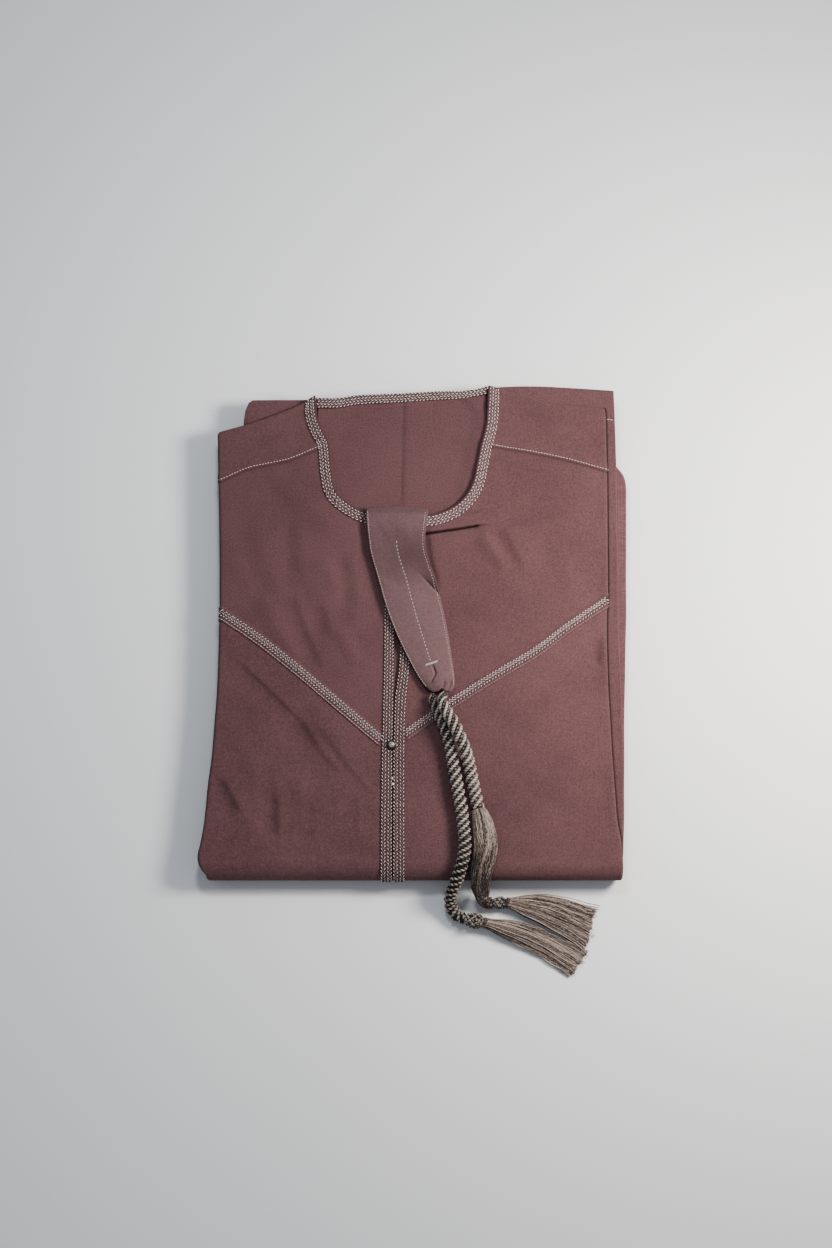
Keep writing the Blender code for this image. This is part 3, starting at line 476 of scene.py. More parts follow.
def routeThrough(rows, step):  # evenly spaced points on one smooth curve through the rows
    rows = np.array(rows, float)
    guide = np.vstack([2 * rows[0] - rows[1], rows, 2 * rows[-1] - rows[-2]])
    t = np.linspace(0, 1, 24, endpoint=False)[:, None]
    fine = []
    for a, b, c, d in zip(guide, guide[1:], guide[2:], guide[3:]):
        bend = (2 * a - 5 * b + 4 * c - d) * t * t + (3 * b - a - 3 * c + d) * t ** 3
        fine.append(0.5 * (2 * b + (c - a) * t + bend))
    fine = np.vstack(fine + [rows[-1:]])
    length = lengthAlong(fine[:, :3])
    places = np.linspace(0, length[-1], max(int(round(length[-1] / step)), 2) + 1)
    return np.stack([np.interp(places, length, column) for column in fine.T], -1), places


def framesAlong(points):  # two directions square to a line, which go with it without twisting
    along = unit(np.gradient(points, axis=0))
    normal = np.empty_like(points)
    ahead = np.array((0.0, 0.0, 1.0))
    for i, direction in enumerate(along):
        ahead = unit(ahead - direction * ahead.dot(direction))
        normal[i] = ahead
    return normal, np.cross(along, normal)


def twisted(centre, outward, places, look, size=1.0):
    # the plies of one strand, turned round its own middle, each with its outward share
    across = unit(np.cross(unit(np.gradient(centre, axis=0)), outward))
    plies = []
    for ply in range(look["plies"]):
        turn = 2 * math.pi * (ply / look["plies"] + places / look["plyLead"])
        plies.append((centre + size * look["offset"] * around(turn, outward, across), np.cos(turn)))
    return plies


braid = {
    "step": 0.38, "strands": 3, "leftLeads": (22.0, 16.0), "rightLeads": (24.0, 19.0), "full": 5.6,
    "core": 3.0, "fade": 0.34, "fadeFrom": 105.0, "fadeOver": 60.0, "dim": 0.30, "dimOver": 7.0,
    "pale": {
        "plies": 2, "plyLead": 5.8, "offset": 0.80, "ply": 0.90, "sunk": 1.50, "tone": 0.54, "bead": 0.30,
    },
    "dark": {
        "plies": 1, "plyLead": 3.8, "offset": 0.30, "ply": 0.95, "sunk": 2.20, "tone": 0.10, "bead": 0.14,
    },
}


def braided(bundle, route, leads, strands, paler=0.0):
    rows, places = routeThrough(route, braid["step"])
    points, radius = rows[:, :3], rows[:, 3:4]
    normal, side = framesAlong(points)
    lead = leads[0] + (leads[1] - leads[0]) * ease(places / places[-1])
    turned = np.concatenate([[0], np.cumsum(np.diff(places) / lead[1:])])
    late = braid["fade"] * ease((places - braid["fadeFrom"]) / braid["fadeOver"])
    # Painted shadow under the tab: the pale strands are darker over the cord's first millimetres
    dim = braid["dim"] * (1 - ease(places / braid["dimOver"]))
    size = radius / braid["full"]
    for kind, shift in (("pale", 0.0), ("dark", 0.5)):
        look = braid[kind]
        lines, tones = [], []
        for strand in range(strands):
            slip = 0.10 * np.sin(places / 9.0 + strand * 2.1) + 0.05 * np.sin(places / 3.7 + strand)
            outward = around(2 * math.pi * ((strand + shift) / strands + turned) + slip, normal, side)
            depth = look["sunk"] - 0.16 * np.sin(places / 5.3 + strand * 1.9)
            centre = points + outward * (radius - depth[:, None] * size)
            travel = places * 1.7 + strand * 1.3 + 0.5 * np.sin(places / 11.0 + strand)
            for ply, (line, facing) in enumerate(twisted(centre, outward, travel, look, size)):
                lines.append(line)
                drift = 0.06 * np.sin(places / 3.1 + strand + ply) + chance.uniform(-0.05, 0.05)
                # Painted shade and light on each ply: paler where it faces outwards, darker where it turns
                # under
                bead = look["bead"] * (2.3 * np.maximum(facing, 0.0) ** 0.8 - 1.3)
                tones.append(look["tone"] + bead + drift + paler - late - dim * (kind == "pale"))
        bundle.tubes(lines, look["ply"] * size[:, 0], 5, np.array(tones))
    # A near-black core: painted shade that shows in the gaps between the strands
    bundle.tubes(points[None, ::4], radius[None, ::4, 0] - braid["core"], 8, 0.0)


floss = {
    "threads": 290, "locks": 27, "radius": 0.35, "step": 1.9, "paleEnd": 22, "paleOver": 26, "core": 0.74,
    "stray": 0.17, "wave": 0.045, "crimp": 0.06, "tone": 0.24, "lockTones": (0.28, 0.66),
}


def loosened(bundle):  # the unbraided stretch: fine threads lying in locks round a soft core
    rows, places = routeThrough(flossRoute, floss["step"])
    points, wide, high = rows[:, :3], rows[:, 3], rows[:, 4]
    normal, side = framesAlong(points)
    lines, tones = [], []
    locks = floss["locks"]
    lock = 2 * math.pi * (np.arange(locks) + chance.uniform(-0.3, 0.3, locks)) / locks
    lockTone = chance.uniform(*floss["lockTones"], locks)
    later = ease((places - floss["paleEnd"]) / floss["paleOver"])
    for k in range(floss["threads"]):
        which = k % locks
        stray = chance.normal(0, floss["stray"])
        angle = lock[which] + stray + 0.22 * np.sin(places / 27 + which) - 0.012 * places
        reach = 1.0 - 0.26 * chance.random() ** 2 - 0.5 * stray ** 2
        wave = floss["wave"] * np.sin(places / chance.uniform(3.0, 6.0) + chance.uniform(0, 6))
        crimp = floss["crimp"] * np.sin(places / chance.uniform(1.0, 1.6) + chance.uniform(0, 6))
        angle = angle + crimp
        offset = side * (wide * (reach + wave) * np.cos(angle))[:, None]
        offset = offset + normal * (high * (reach + wave) * np.sin(angle))[:, None]
        lines.append(points + offset)
        tone = lockTone[which] + chance.uniform(-floss["tone"], floss["tone"])
        tone = tone + 0.08 * np.sin(places / 7 + which)
        pale = 0.16 * (1 - later) * (1 + 0.8 * np.cos(angle))
        tones.append(tone + 2.4 * crimp + pale - 0.26 * later)
    bundle.tubes(lines, floss["radius"], 3, np.array(tones))
    # A near-black core: painted shade that shows between the threads
    bundle.tubes(points[None], (np.minimum(wide, high) * floss["core"])[None], 10, 0.02)


curl = {"rows": 5, "leads": (15.0, 13.0), "strands": 4}


def makeCords():
    left, right, loose = Bundle(), Bundle(), Bundle()
    braided(left, leftCordRoute, braid["leftLeads"], braid["strands"])
    cordLeft = left.make("cord_left_braid", "yarn", "yarn", ("cord_left",))
    braided(right, rightCordRoute, braid["rightLeads"], braid["strands"], 0.04)
    cordRight = right.make("cord_right_braid", "yarn", "yarn", ("cord_right",))
    loosened(loose)
    tail = [row[:4] for row in flossRoute[-curl["rows"]:]]
    braided(loose, tail, curl["leads"], curl["strands"], -0.20)
    return cordLeft, cordRight, loose.make("floss_right_threads", "tassel", "yarn", ("floss_right",))


cordLeft, cordRight, flossRight = makeCords()


# Knots and tassels

knots = {
    "left": {"start": (40.9, -245.5, 7.4), "end": (55.6, -248.6, 7.4), "radius": 6.3, "pale": 0.06},
    "right": {"start": (64.8, -232.3, 6.0), "end": (74.4, -232.0, 6.0), "radius": 4.9, "pale": 0.02},
}
wrap = {
    "around": 6, "waves": 5, "ply": 0.56, "plies": 2, "plyLead": 3.4, "offset": 0.44, "points": 600,
    "tracks": ((-0.55, 0.2), (0.55, -0.08)),
}


def makeKnot(name, look):  # a woven ball: one doubled strand that goes over and under itself
    start, end = np.array(look["start"]), np.array(look["end"])
    axis = unit(end - start)
    side = unit(np.cross(axis, (0.0, 0.0, 1.0)))
    half = np.linalg.norm(end - start) / 2
    t = np.linspace(0, 2 * math.pi, wrap["points"])
    bundle = Bundle()
    for track, paler in wrap["tracks"]:
        tone = look["pale"] + paler
        slide = np.cos(wrap["waves"] * t + track * 0.22)
        weave = 0.45 * np.cos(wrap["around"] * wrap["waves"] * t + 0.8)
        body = look["radius"] * np.sqrt(np.clip(1 - 0.72 * slide ** 2, 0, 1)) + weave - 0.5
        outward = around(wrap["around"] * t, side, np.cross(side, axis))
        centre = (start + end) / 2 + axis * (slide * half * 0.88 + track)[:, None] + outward * body[:, None]
        places = lengthAlong(centre)
        plies = twisted(centre, outward, places, wrap)
        ripple = 0.26 * np.sin(places * 2 * math.pi / 3.1 + 9 * tone)
        # Painted shade and light: the plies are paler where they face outwards, darker where they turn under
        tones = np.array([tone + 0.22 * facing + ripple for _, facing in plies])
        bundle.tubes([line for line, _ in plies], wrap["ply"], 4, tones)
    heart = start + (end - start) * np.linspace(0, 1, 9)[:, None]
    bulge = look["radius"] * (0.35 + 0.50 * np.sin(math.pi * np.linspace(0.1, 0.9, 9)))
    # A near-black heart: painted shade that shows between the wraps
    bundle.tubes(heart[None], bulge[None], 12, 0.04)
    return bundle.make(name + "_wrap", "yarn", "yarn", (name,))


tassels = {
    "left": {
        "neck": (56.3, -248.8, 6.2), "head": 4.3, "near": (143.0, -272.6), "far": (129.0, -293.6),
        "bow": 4.0, "high": 7.2, "threads": 430, "tone": 0.35,
    },
    "right": {
        "neck": (75.1, -232.0, 5.8), "head": 4.1, "near": (150.5, -237.5), "far": (141.5, -272.5),
        "bow": 4.0, "high": 7.6, "threads": 470, "tone": 0.30,
    },
}
strandOf = {
    "rings": 20, "radius": 0.38, "ragged": 0.040, "floor": 0.55, "locks": 26, "lockTone": 0.20, "tone": 0.38,
    "stray": 0.012, "strayLong": 0.05, "straySide": 5, "wrapTurns": 4, "wrapRadius": 0.55, "wrapTone": 0.16,
}


def makeTassel(name, look):
    neck, plan = np.array(look["neck"]), np.array((1, 1, 0))
    near, far = np.array((*look["near"], 0.0)), np.array((*look["far"], 0.0))
    head, floor = look["head"], strandOf["floor"]
    ahead = unit((near + far) / 2 - neck * plan)
    across = np.cross((0.0, 0.0, 1.0), ahead)
    if across.dot(near - far) < 0:
        across = -across
    t = np.linspace(0, 1, strandOf["rings"])
    lines, tones, radii = [], [], []
    lockTone = chance.uniform(-strandOf["lockTone"], strandOf["lockTone"], strandOf["locks"] + 1)
    for k in range(look["threads"]):
        place = (k + 0.5) / look["threads"] * 2 - 1
        place = np.clip(place + chance.normal(0, 0.06), -1, 1)
        lift = chance.random() ** 0.8
        root = neck + across * place * head * 0.92
        root[2] += (lift * 2 - 1) * head * 0.9 * math.sqrt(max(1 - place * place, 0.0))
        goal = near + (far - near) * (0.5 - 0.5 * place)
        short = 1 - abs(chance.normal(0, strandOf["ragged"])) + 0.01 * math.sin(9 * place)
        if chance.random() < strandOf["stray"]:
            short += strandOf["strayLong"]
            goal = goal + across * chance.uniform(-strandOf["straySide"], strandOf["straySide"])
        goal = neck * plan + (goal - neck * plan) * short
        line = root[None] + (goal - root)[None] * t[:, None] * plan
        spread = ease(t / 0.22) * 0.28 * np.sin(math.pi * np.clip(t * 1.05, 0, 1)) * (1 - t)
        sway = place * head * 3.2 * spread + look["bow"] * np.sin(math.pi * t)
        wave, turn = chance.uniform(0.3, 1.0), chance.uniform(0, 6.3)
        sway = sway + wave * np.sin(t * chance.uniform(8, 22) + turn) * t
        line += across * sway[:, None]
        bed = floor + lift * (look["high"] * (1 - 0.62 * t) * (1 - 0.45 * abs(place)))
        settle = ease(t * 1.6)
        line[:, 2] = root[2] * (1 - settle) + bed * settle
        line[:, 2] += 0.22 * np.sin(t * chance.uniform(5, 12) + turn) * t * (1 - 0.4 * t)
        line[:, 2] = np.maximum(line[:, 2], floor)
        lines.append(line)
        which = int((place + 1) / 2 * strandOf["locks"])
        # Painted shade: strands lying lower in the tassel are darker, higher ones paler
        tone = look["tone"] + 0.30 * (lift - 0.5) + chance.uniform(-strandOf["tone"], strandOf["tone"])
        tone = tone + lockTone[which]
        tones.append(tone + 0.10 * np.sin(t * chance.uniform(30, 60) + turn) + 0.10 * (t > 0.97))
        radii.append(strandOf["radius"] * chance.uniform(0.75, 1.25))
    bundle = Bundle()
    bundle.tubes(lines, np.array(radii)[:, None], 3, np.array(tones))
    turns = np.linspace(0, 2 * math.pi * strandOf["wrapTurns"], 90)
    binding = neck + ahead * (turns[:, None] / turns[-1] * 3.0 - 0.6)
    binding = binding + across * (np.cos(turns) * head * 0.98)[:, None]
    binding[:, 2] = np.maximum(binding[:, 2] + np.sin(turns) * head * 0.96, floor)
    bundle.tubes(binding[None], strandOf["wrapRadius"], 5, strandOf["wrapTone"])
    return bundle.make(name + "_threads", "tassel", "yarn", (name,))


knotLeft, knotRight = [makeKnot("knot_" + side, look) for side, look in knots.items()]
tasselLeft, tasselRight = [makeTassel("tassel_" + side, look) for side, look in tassels.items()]


def declareCord(route):
    path = (routeThrough([row[:3] for row in route], 4.0)[0] * mm).tolist()


declareCord(leftCordRoute)
declareCord(rightCordRoute)
declareCord(flossRoute)
print("cords, knots and tassels made")


# The front cloth: where it lies, and what creases it

front = {
    "top": 26.0, "wall": 0.8, "noseY": -201.4, "noseR": 13.0, "floorRun": 5.0, "leftR": 2.9,
    "leftTurn": 165.0, "rightR": 2.2, "rightTurn": 120.0, "crown": 1.8, "neckRise": 1.2,
    "neckReach": 60.0, "lapWidth": 11.6, "lapHeight": 0.85, "yokeLap": 0.6, "yokeUnder": 1.2,
    "crownX": 175.0, "crownY": 215.0, "vX": -20.0, "stripLeft": -30.2, "stripRight": -8.8,
}
sideFolds = [
    # y,      left,   right
    (-214.0, -175.4, 171.8),
    (-203.0, -181.0, 171.8),
    (-196.0, -182.5, 171.7),
    (-184.0, -180.3, 171.0),
    (-166.0, -177.4, 168.0),
    (-135.0, -175.0, 166.2),
    (-110.0, -172.2, 164.8),
    (-82.0, -170.5, 163.8),
    (-51.0, -168.8, 162.6),
    (-12.0, -168.3, 162.2),
    (13.0, -168.1, 162.8),
    (30.0, -168.4, 163.9),
    (60.0, -169.0, 164.3),
    (139.0, -171.7, 165.1),
    (182.0, -173.2, 165.0),
    (200.0, -173.4, 164.0),
]
leftShoulderRows = [(-173.2, 172.3), (-147.3, 179.8), (-127.4, 186.8), (-98.0, 199.5), (-88.6, 205.4)]
rightShoulderRows = [(62.9, 214.6), (72.7, 212.0), (88.2, 207.4), (111.8, 200.5), (164.0, 194.1)]
leftYokeRows = [(-169.3, 128.8), (-141.7, 140.4), (-112.5, 146.7), (-86.3, 157.3), (-76.7, 160.7)]
rightYokeRows = [(56.9, 161.4), (66.4, 159.6), (107.8, 152.6), (134.2, 146.6), (164.4, 137.9)]
leftChestRows = [(-165.9, 10.3), (-136.2, -10.1), (-104.8, -34.8), (-67.3, -66.9), (-20.0, -107.0)]
rightChestRows = [
    (-20.0, -101.2), (28.6, -67.6), (63.5, -45.4), (102.7, -21.6), (128.9, -1.8), (163.4, 22.0),
]
neckRows = [
    (-89.2, 204.9), (-87.8, 187.7), (-82.0, 171.7), (-76.7, 160.7), (-74.0, 134.8), (-70.7, 119.0),
    (-61.1, 108.6), (-44.1, 99.4), (-19.0, 95.3), (-13.0, 95.2), (10.7, 96.0), (26.6, 100.8),
    (39.8, 110.3), (49.1, 125.3), (54.2, 148.7), (56.9, 161.4), (61.4, 179.0), (62.7, 196.0),
    (63.6, 214.2),
]
backNeckRows = [
    (-88.0, 203.4), (-72.1, 203.0), (-50.4, 206.0), (-14.4, 207.4), (12.2, 209.2), (38.9, 211.0),
    (63.0, 214.6),
]
placketRows = [
    # y,     left out, left in, right in, right out
    (-250.0, -30.0, -20.3, -19.7, -9.9),
    (-214.0, -30.0, -20.3, -19.7, -9.9),
    (-104.0, -29.2, -20.2, -19.7, -10.1),
    (-90.0, -28.6, -19.8, -19.2, -9.9),
    (-65.0, -28.2, -19.6, -18.4, -8.7),
    (-31.0, -27.6, -19.3, -14.6, -5.8),
    (12.0, -27.4, -19.2, -13.4, -5.0),
    (96.0, -27.6, -19.0, -12.6, -4.0),
]
troughs = [
    # x0,     y0,     x1,    y1,   half width, depth
    (-112.0, 60.0, -78.0, -30.0, 20.0, 1.3),
    (-104.0, -66.0, -62.0, -126.0, 16.0, 0.9),
    (-166.0, -124.0, -140.0, -168.0, 16.0, 1.0),
    (70.0, 96.0, 128.0, 118.0, 18.0, 1.0),
    (112.0, -58.0, 74.0, -92.0, 18.0, 0.7),
]
creases = [  # soft ones: a ridge is above 0 and a trough below
    # half width on the left and right of the way it runs, height, points
    (15.0, 15.0, -0.90, ((-97, -82), (-88, -108))),
    (9.0, 16.0, -0.80, ((-126, -118), (-122, -150), (-121, -186))),
    (11.0, 11.0, 0.80, ((-98, -128), (-96, -178))),
    (14.0, 14.0, -0.70, ((-150, 96), (-140, 52), (-122, 20))),
    (12.0, 12.0, -0.70, ((-66, 62), (-58, 30), (-64, -8))),
    (8.0, 15.0, -1.10, ((-112, 32), (-99, -4), (-88, -27), (-80, -42))),
    (13.0, 13.0, 0.90, ((-134, 32), (-122, 2), (-98, -32))),
    (3.0, 15.0, -1.05, ((-155, -29), (-126, -56), (-98, -84))),
    (7.0, 22.0, -1.45, ((-106, -74), (-84, -109), (-66, -131))),
    (5.0, 14.0, -0.60, ((-87, -84), (-75, -101), (-58, -124), (-40, -144))),
    (6.0, 16.0, -1.50, ((-168, -129), (-149, -162))),
    (13.0, 13.0, 0.80, ((-155, -144), (-143, -163), (-131, -182))),
    (13.0, 13.0, 0.70, ((-144, -110), (-124, -143))),
    (6.0, 15.0, -0.80, ((-120, -142), (-119, -182))),
    (6.0, 13.0, -0.45, ((-91, -148), (-91, -188))),
    (6.0, 13.0, -0.40, ((-53, -140), (-54, -178))),
    (2.2, 7.0, -0.45, ((150, -26), (102, -64), (58, -101))),
    (5.0, 11.0, -1.20, ((157, -8), (153, -35))),
    (11.0, 11.0, 1.20, ((52, 82), (80, 48))),
    (7.0, 13.0, -1.05, ((69, 88), (87, 49))),
    (4.0, 8.0, -0.50, ((66, 91), (96, 94), (132, 101))),
    (1.8, 5.0, -0.55, ((34, 97), (52, 100), (65, 103.5), (76, 109))),
    (12.0, 12.0, -0.80, ((-109, 98), (-108, 40))),
    (15.0, 15.0, 0.75, ((-129, 143), (-100, 108), (-66, 86))),
    (8.0, 12.0, -0.80, ((-82, 18), (-80, -12))),
    (11.0, 11.0, 0.80, ((-67, 0), (-50, -35))),
    (9.0, 9.0, -0.70, ((-46, 94), (-44, 58))),
    (12.0, 12.0, 0.60, ((-58, 72), (-50, 18))),
    (14.0, 14.0, 0.70, ((-85, 62), (-60, 28))),
    (9.0, 9.0, -0.50, ((84, 190), (150, 180))),
    (8.0, 8.0, -0.50, ((-152, 160), (-112, 172))),
    (14.0, 14.0, 0.60, ((118, 72), (136, 28))),
    (16.0, 16.0, -0.50, ((18, -149), (98, -169))),
    (18.0, 18.0, 0.50, ((90, -119), (142, -151))),
]
# Painted shadow: shade() darkens the cloth along this line, beside the tab's right edge
underTab = ((9.5, 86), (10.6, 70), (13.6, 53), (19.5, 34))  # where the tab's right edge keeps light off
# The sharp fold: the left side of its line stands up, and a groove lies at the foot
sharp = {"line": (-2.0, 79.5, 63.0, 90.4), "reach": 6.0, "height": 1.0, "groove": 2.6}
leftFold = curveThrough(sideFolds, 1)
rightFold = curveThrough(sideFolds, 2)
leftShoulder, rightShoulder = curveThrough(leftShoulderRows), curveThrough(rightShoulderRows)
leftYoke, rightYoke = curveThrough(leftYokeRows), curveThrough(rightYokeRows)
leftChest, rightChest = curveThrough(leftChestRows), curveThrough(rightChestRows)
neckline = curveThrough(neckRows)
backNeck = curveThrough(backNeckRows)
placketEdges = [curveThrough(placketRows, column) for column in (1, 2, 3, 4)]
leftNeckX = [
    -89.2, -88.5, -87.8, -86.0, -84.0, -82.0, -79.0, -76.7, -75.6, -74.8, -74.0, -72.5, -70.7, -66.0,
    -61.1, -53.0, -44.1, -32.0,
]
rightNeckX = [
    -2.0, 10.7, 19.0, 26.6, 33.6, 39.8, 45.0, 49.1, 51.2, 53.0, 54.2, 55.5, 56.9, 59.0, 61.4, 62.1,
    62.7, 63.2, 63.6,
]
neckPoints = [(x, float(neckline(x))) for x in leftNeckX + [-19.0, -13.0] + rightNeckX]
waveChance = np.random.default_rng(5)
undulations = [  # direction, wavelength and phase of the slow unevenness
    (waveChance.uniform(0, math.pi), waveChance.uniform(24, 95), waveChance.uniform(0, 6.3))
    for _ in range(18)
]
unevenness = {
    "undulation": 0.0021, "crease": 1.35, "pucker": 0.10, "neckX": -13.0, "neckY": 160.0, "neckR": 74.0,
}


def neckDistance(x, y):
    return np.min([toLine(x, y, *a, *b)[0] for a, b in zip(neckPoints, neckPoints[1:])], axis=0)


def edgeDistance(x, y):
    (leftX, leftY), (rightX, rightY) = leftShoulderRows[-1], rightShoulderRows[0]
    middle = np.minimum(np.hypot(x - leftX, y - leftY), np.hypot(x - rightX, y - rightY))
    below = np.where(x < leftX, leftShoulder(x) - y, np.where(x > rightX, rightShoulder(x) - y, middle))
    return np.minimum.reduce([x - leftFold(y), rightFold(y) - x, y - front["noseY"], below])


def seamDistance(x, y):  # up the cloth from the nearer chest seam
    return y - np.where(x < front["vX"], leftChest(x), rightChest(x))


def creaseShares(x, y):  # the height of each soft crease, and how much of it reaches each point
    for left, right, height, points in creases:
        away, along, side = toPath(x, y, points)
        yield height, (1 - ease(away / np.where(side > 0, left, right))) * ends(along, 4, 0.1)


def relief(x, y):  # how far the cloth stands above its flat height
    edge, near = edgeDistance(x, y), neckDistance(x, y)
    height = front["crown"] * (1 - (x / front["crownX"]) ** 2) * (1 - (y / front["crownY"]) ** 2)
    height = height + front["neckRise"] * (1 - ease(near / front["neckReach"]))
    for x0, y0, x1, y1, half, depth in troughs:
        away, along, _ = toLine(x, y, x0, y0, x1, y1)
        height = height - depth * (1 - ease(away / half)) * ends(along, 4, 0.2)
    height = np.maximum(height, 0.0) * ease((edge - 3.0) / 30.0)

    small = sum(unevenness["crease"] * up * share for up, share in creaseShares(x, y))
    away, along, side = toLine(x, y, *sharp["line"])
    fade = ease(6 * along + 0.3) * ease(3.5 * (1 - along))
    small += sharp["height"] * np.tanh(side / 0.4) * np.exp(-away / sharp["reach"]) * fade
    small -= sharp["groove"] * bell(side + 0.6, 0.7) * (away < np.abs(side) + 0.05) * fade
    for angle, wavelength, phase in undulations:
        place = (x * math.cos(angle) + y * math.sin(angle)) * 2 * math.pi / wavelength + phase
        small += unevenness["undulation"] * wavelength * np.sin(place)
    small = small * ease((edge - 1.0) / 9.0)

    seam = np.abs(seamDistance(x, y))
    turned = np.arctan2(y - unevenness["neckY"], x - unevenness["neckX"]) * unevenness["neckR"]
    beside = np.minimum(np.abs(x + 30.0), np.abs(x + 8.0))
    pulls = (  # along the V seams, round the neck and along the placket
        (x, 6.3, 1.7, 13.0, 1 - ease((seam - 4.0) / 10.0)),
        (turned, 6.1, 1.5, 15.0, 1 - ease((near - 7.0) / 9.0)),
        (y, 5.9, 1.6, 14.0, (1 - ease(beside / 7.0)) * (y < 90)),
    )
    pucker = sum(
        np.cos(2 * math.pi * along / pitch + sway * np.sin(along / slow)) * share
        for along, pitch, sway, slow, share in pulls
    )
    return height + small + unevenness["pucker"] * pucker * ease((edge - 2.0) / 6.0)


# How much painted shade darkens each kind of groove, fold and seam
dims = {"crease": 0.052, "sharp": 0.19, "tab": 0.27, "lap": 0.17, "slit": 0.12, "yoke": 0.16, "side": 0.40}


# Painted shade for the front cloth's tone: darker in the creases, the sharp fold's groove, beside the tab's
# right edge, along the felled seam's lap, in the placket's slit, under the yoke seams and on the turned side
# folds
def shade(x, y):  # half everywhere, and less down in the grooves and under the side folds
    # Painted shade standing in for light falloff: darker over the left side and the upper right
    tone = 0.5 - 0.03 * ease((-40.0 - x) / 100.0) * ease((y + 160.0) / 80.0)
    tone = tone - 0.03 * ease((x - 40.0) / 80.0) * ease((y - 90.0) / 60.0)
    tone = tone + sum(dims["crease"] * min(up, 0.0) * share for up, share in creaseShares(x, y))
    away, along, side = toLine(x, y, *sharp["line"])
    narrow = bell(side + 0.5, 0.95 - 0.35 * along) * (away < np.abs(side) + 0.05)
    tone = tone - dims["sharp"] * sharp["groove"] * narrow * ease(6 * along + 0.3) * ease(4 * (1 - along))
    away, along, _ = toPath(x, y, underTab)
    tone = tone - dims["tab"] * bell(away, 2.6) * ends(along, 3, 0.3)
    above = seamDistance(x, y)
    lap = ease((above + 3.2) / 0.8) * ease((5.6 - above) / 0.8)
    tone = tone - dims["lap"] * lap * (np.abs(x + 19.0) > 9.5)
    tone = tone - dims["slit"] * (x > placketEdges[1](y) + 0.2) * (x < placketEdges[2](y))
    below = np.where(x < 0, leftYoke(x), rightYoke(x)) - y
    tone = tone - dims["yoke"] * bell(below - 1.9, 0.8) * (np.abs(x + 10) > 65)
    beyond = np.maximum((leftEdge(y) - x) / front["leftR"], (x - rightEdge(y)) / front["rightR"])
    return np.clip(tone - dims["side"] * ease((beyond - 0.65) / 0.5), 0.03, 0.5)


def lay(x, y, inward):  # a point of the flat cloth, turned round the side and bottom folds
    x, y, inward = np.broadcast_arrays(*[np.asarray(v, float) for v in (x, y, inward)])
    leftR, rightR, noseR, noseY = front["leftR"], front["rightR"], front["noseR"], front["noseY"]
    left, right = leftFold(y) + leftR, rightFold(y) - rightR
    flatX = np.clip(x, left, right)
    turnLeft, turnRight = (left - x) / leftR, (x - right) / rightR
    placeX = np.where(turnLeft > 0, left - (leftR - inward) * np.sin(turnLeft), x)
    placeX = np.where(turnRight > 0, right + (rightR - inward) * np.sin(turnRight), placeX)
    depth = np.where(turnLeft > 0, leftR - (leftR - inward) * np.cos(turnLeft), inward)
    depth = np.where(turnRight > 0, rightR - (rightR - inward) * np.cos(turnRight), depth)
    depth = depth - relief(flatX, y)
    turn = np.clip((noseY - y) / noseR, 0, math.pi)
    beyond = np.maximum((noseY - y) - noseR * math.pi, 0.0)
    reach = noseR - depth
    placeY = np.where(y >= noseY, y, noseY - reach * np.sin(turn) + beyond)
    placeZ = np.where(y >= noseY, front["top"] - depth, noseR + reach * np.cos(turn))
    return np.stack([placeX, placeY, placeZ], -1)


def columnsBetween(left, right, xs, turnLeft=False, turnRight=False):
    # every column runs down the cloth at its share of the way between two edges
    shares = (np.array(xs) - xs[0]) / (xs[-1] - xs[0])
    extra = np.zeros(len(shares))
    if turnLeft:
        turns = np.radians(np.linspace(front["leftTurn"], 12, 13)) * front["leftR"]
        shares = np.concatenate([np.zeros(len(turns)), shares])
        extra = np.concatenate([-turns, extra])
    if turnRight:
        turns = np.radians(np.linspace(12, front["rightTurn"], 10)) * front["rightR"]
        shares = np.concatenate([shares, np.ones(len(turns))])
        extra = np.concatenate([extra, turns])
    return lambda y: left(y) + (right(y) - left(y)) * shares + extra


def leftEdge(y):
    return leftFold(y) + front["leftR"]


def rightEdge(y):
    return rightFold(y) - front["rightR"]


def towardsFold(x, y):  # draws the rows together at the sharp fold
    x0, y0, x1, y1 = sharp["line"]
    away = y - y0 - (x - x0) * (y1 - y0) / (x1 - x0)
    pull = 0.66 * ease((x1 + 14.0 - x) / 14.0)
    return y - pull * away * bell(away, 6.0)


def spread(start, end, step):
    return list(np.linspace(start, end, max(int(round(abs(end - start) / step)), 1) + 1))


def panel(node, piece):
    place, top, bottom = piece["columns"], piece["top"], piece["bottom"]
    columns = len(place(0.0))
    low, high = (np.full(columns, start) for start in piece["between"])
    for _ in range(5):
        low = bottom(place(low))
        high = top(place(high))
    start, end = np.array(piece.get("startRows", plainEdge)), np.array(piece.get("endRows", plainEdge))
    between = int((high - low).max() / piece["grain"])
    share = np.linspace(0, 1, between + 1)[1:-1, None]
    first, last = low + start[-1, 0], high - end[-1, 0]
    y = np.vstack([low + start[:, :1], first + (last - first) * share, high - end[::-1, :1]])
    drop = np.concatenate([start[:, 1], np.zeros(between - 1), end[::-1, 1]])[:, None]
    x = np.stack([place(row) for row in y])
    y = piece["rows"](x, y) if "rows" in piece else y
    drop = drop * (piece["dropShare"](x) if "dropShare" in piece else np.ones_like(x))
    outer = lay(x, y, drop - piece["lift"](x, y))
    turned = math.radians(piece["grainTurn"])
    flatX = x * math.cos(turned) + y * math.sin(turned)
    flatY = y * math.cos(turned) - x * math.sin(turned)
    inner = outer - normalsOf(outer) * front["wall"]
    bundle = Bundle()
    bundle.wall(outer, inner, shade(x, y), stacked(flatX, flatY, piece["dye"]))
    return bundle.clothPiece(node)


def noseFlat():
    return front["noseY"] - front["noseR"] * math.pi - front["floorRun"]


halfLap = front["lapWidth"] / 2


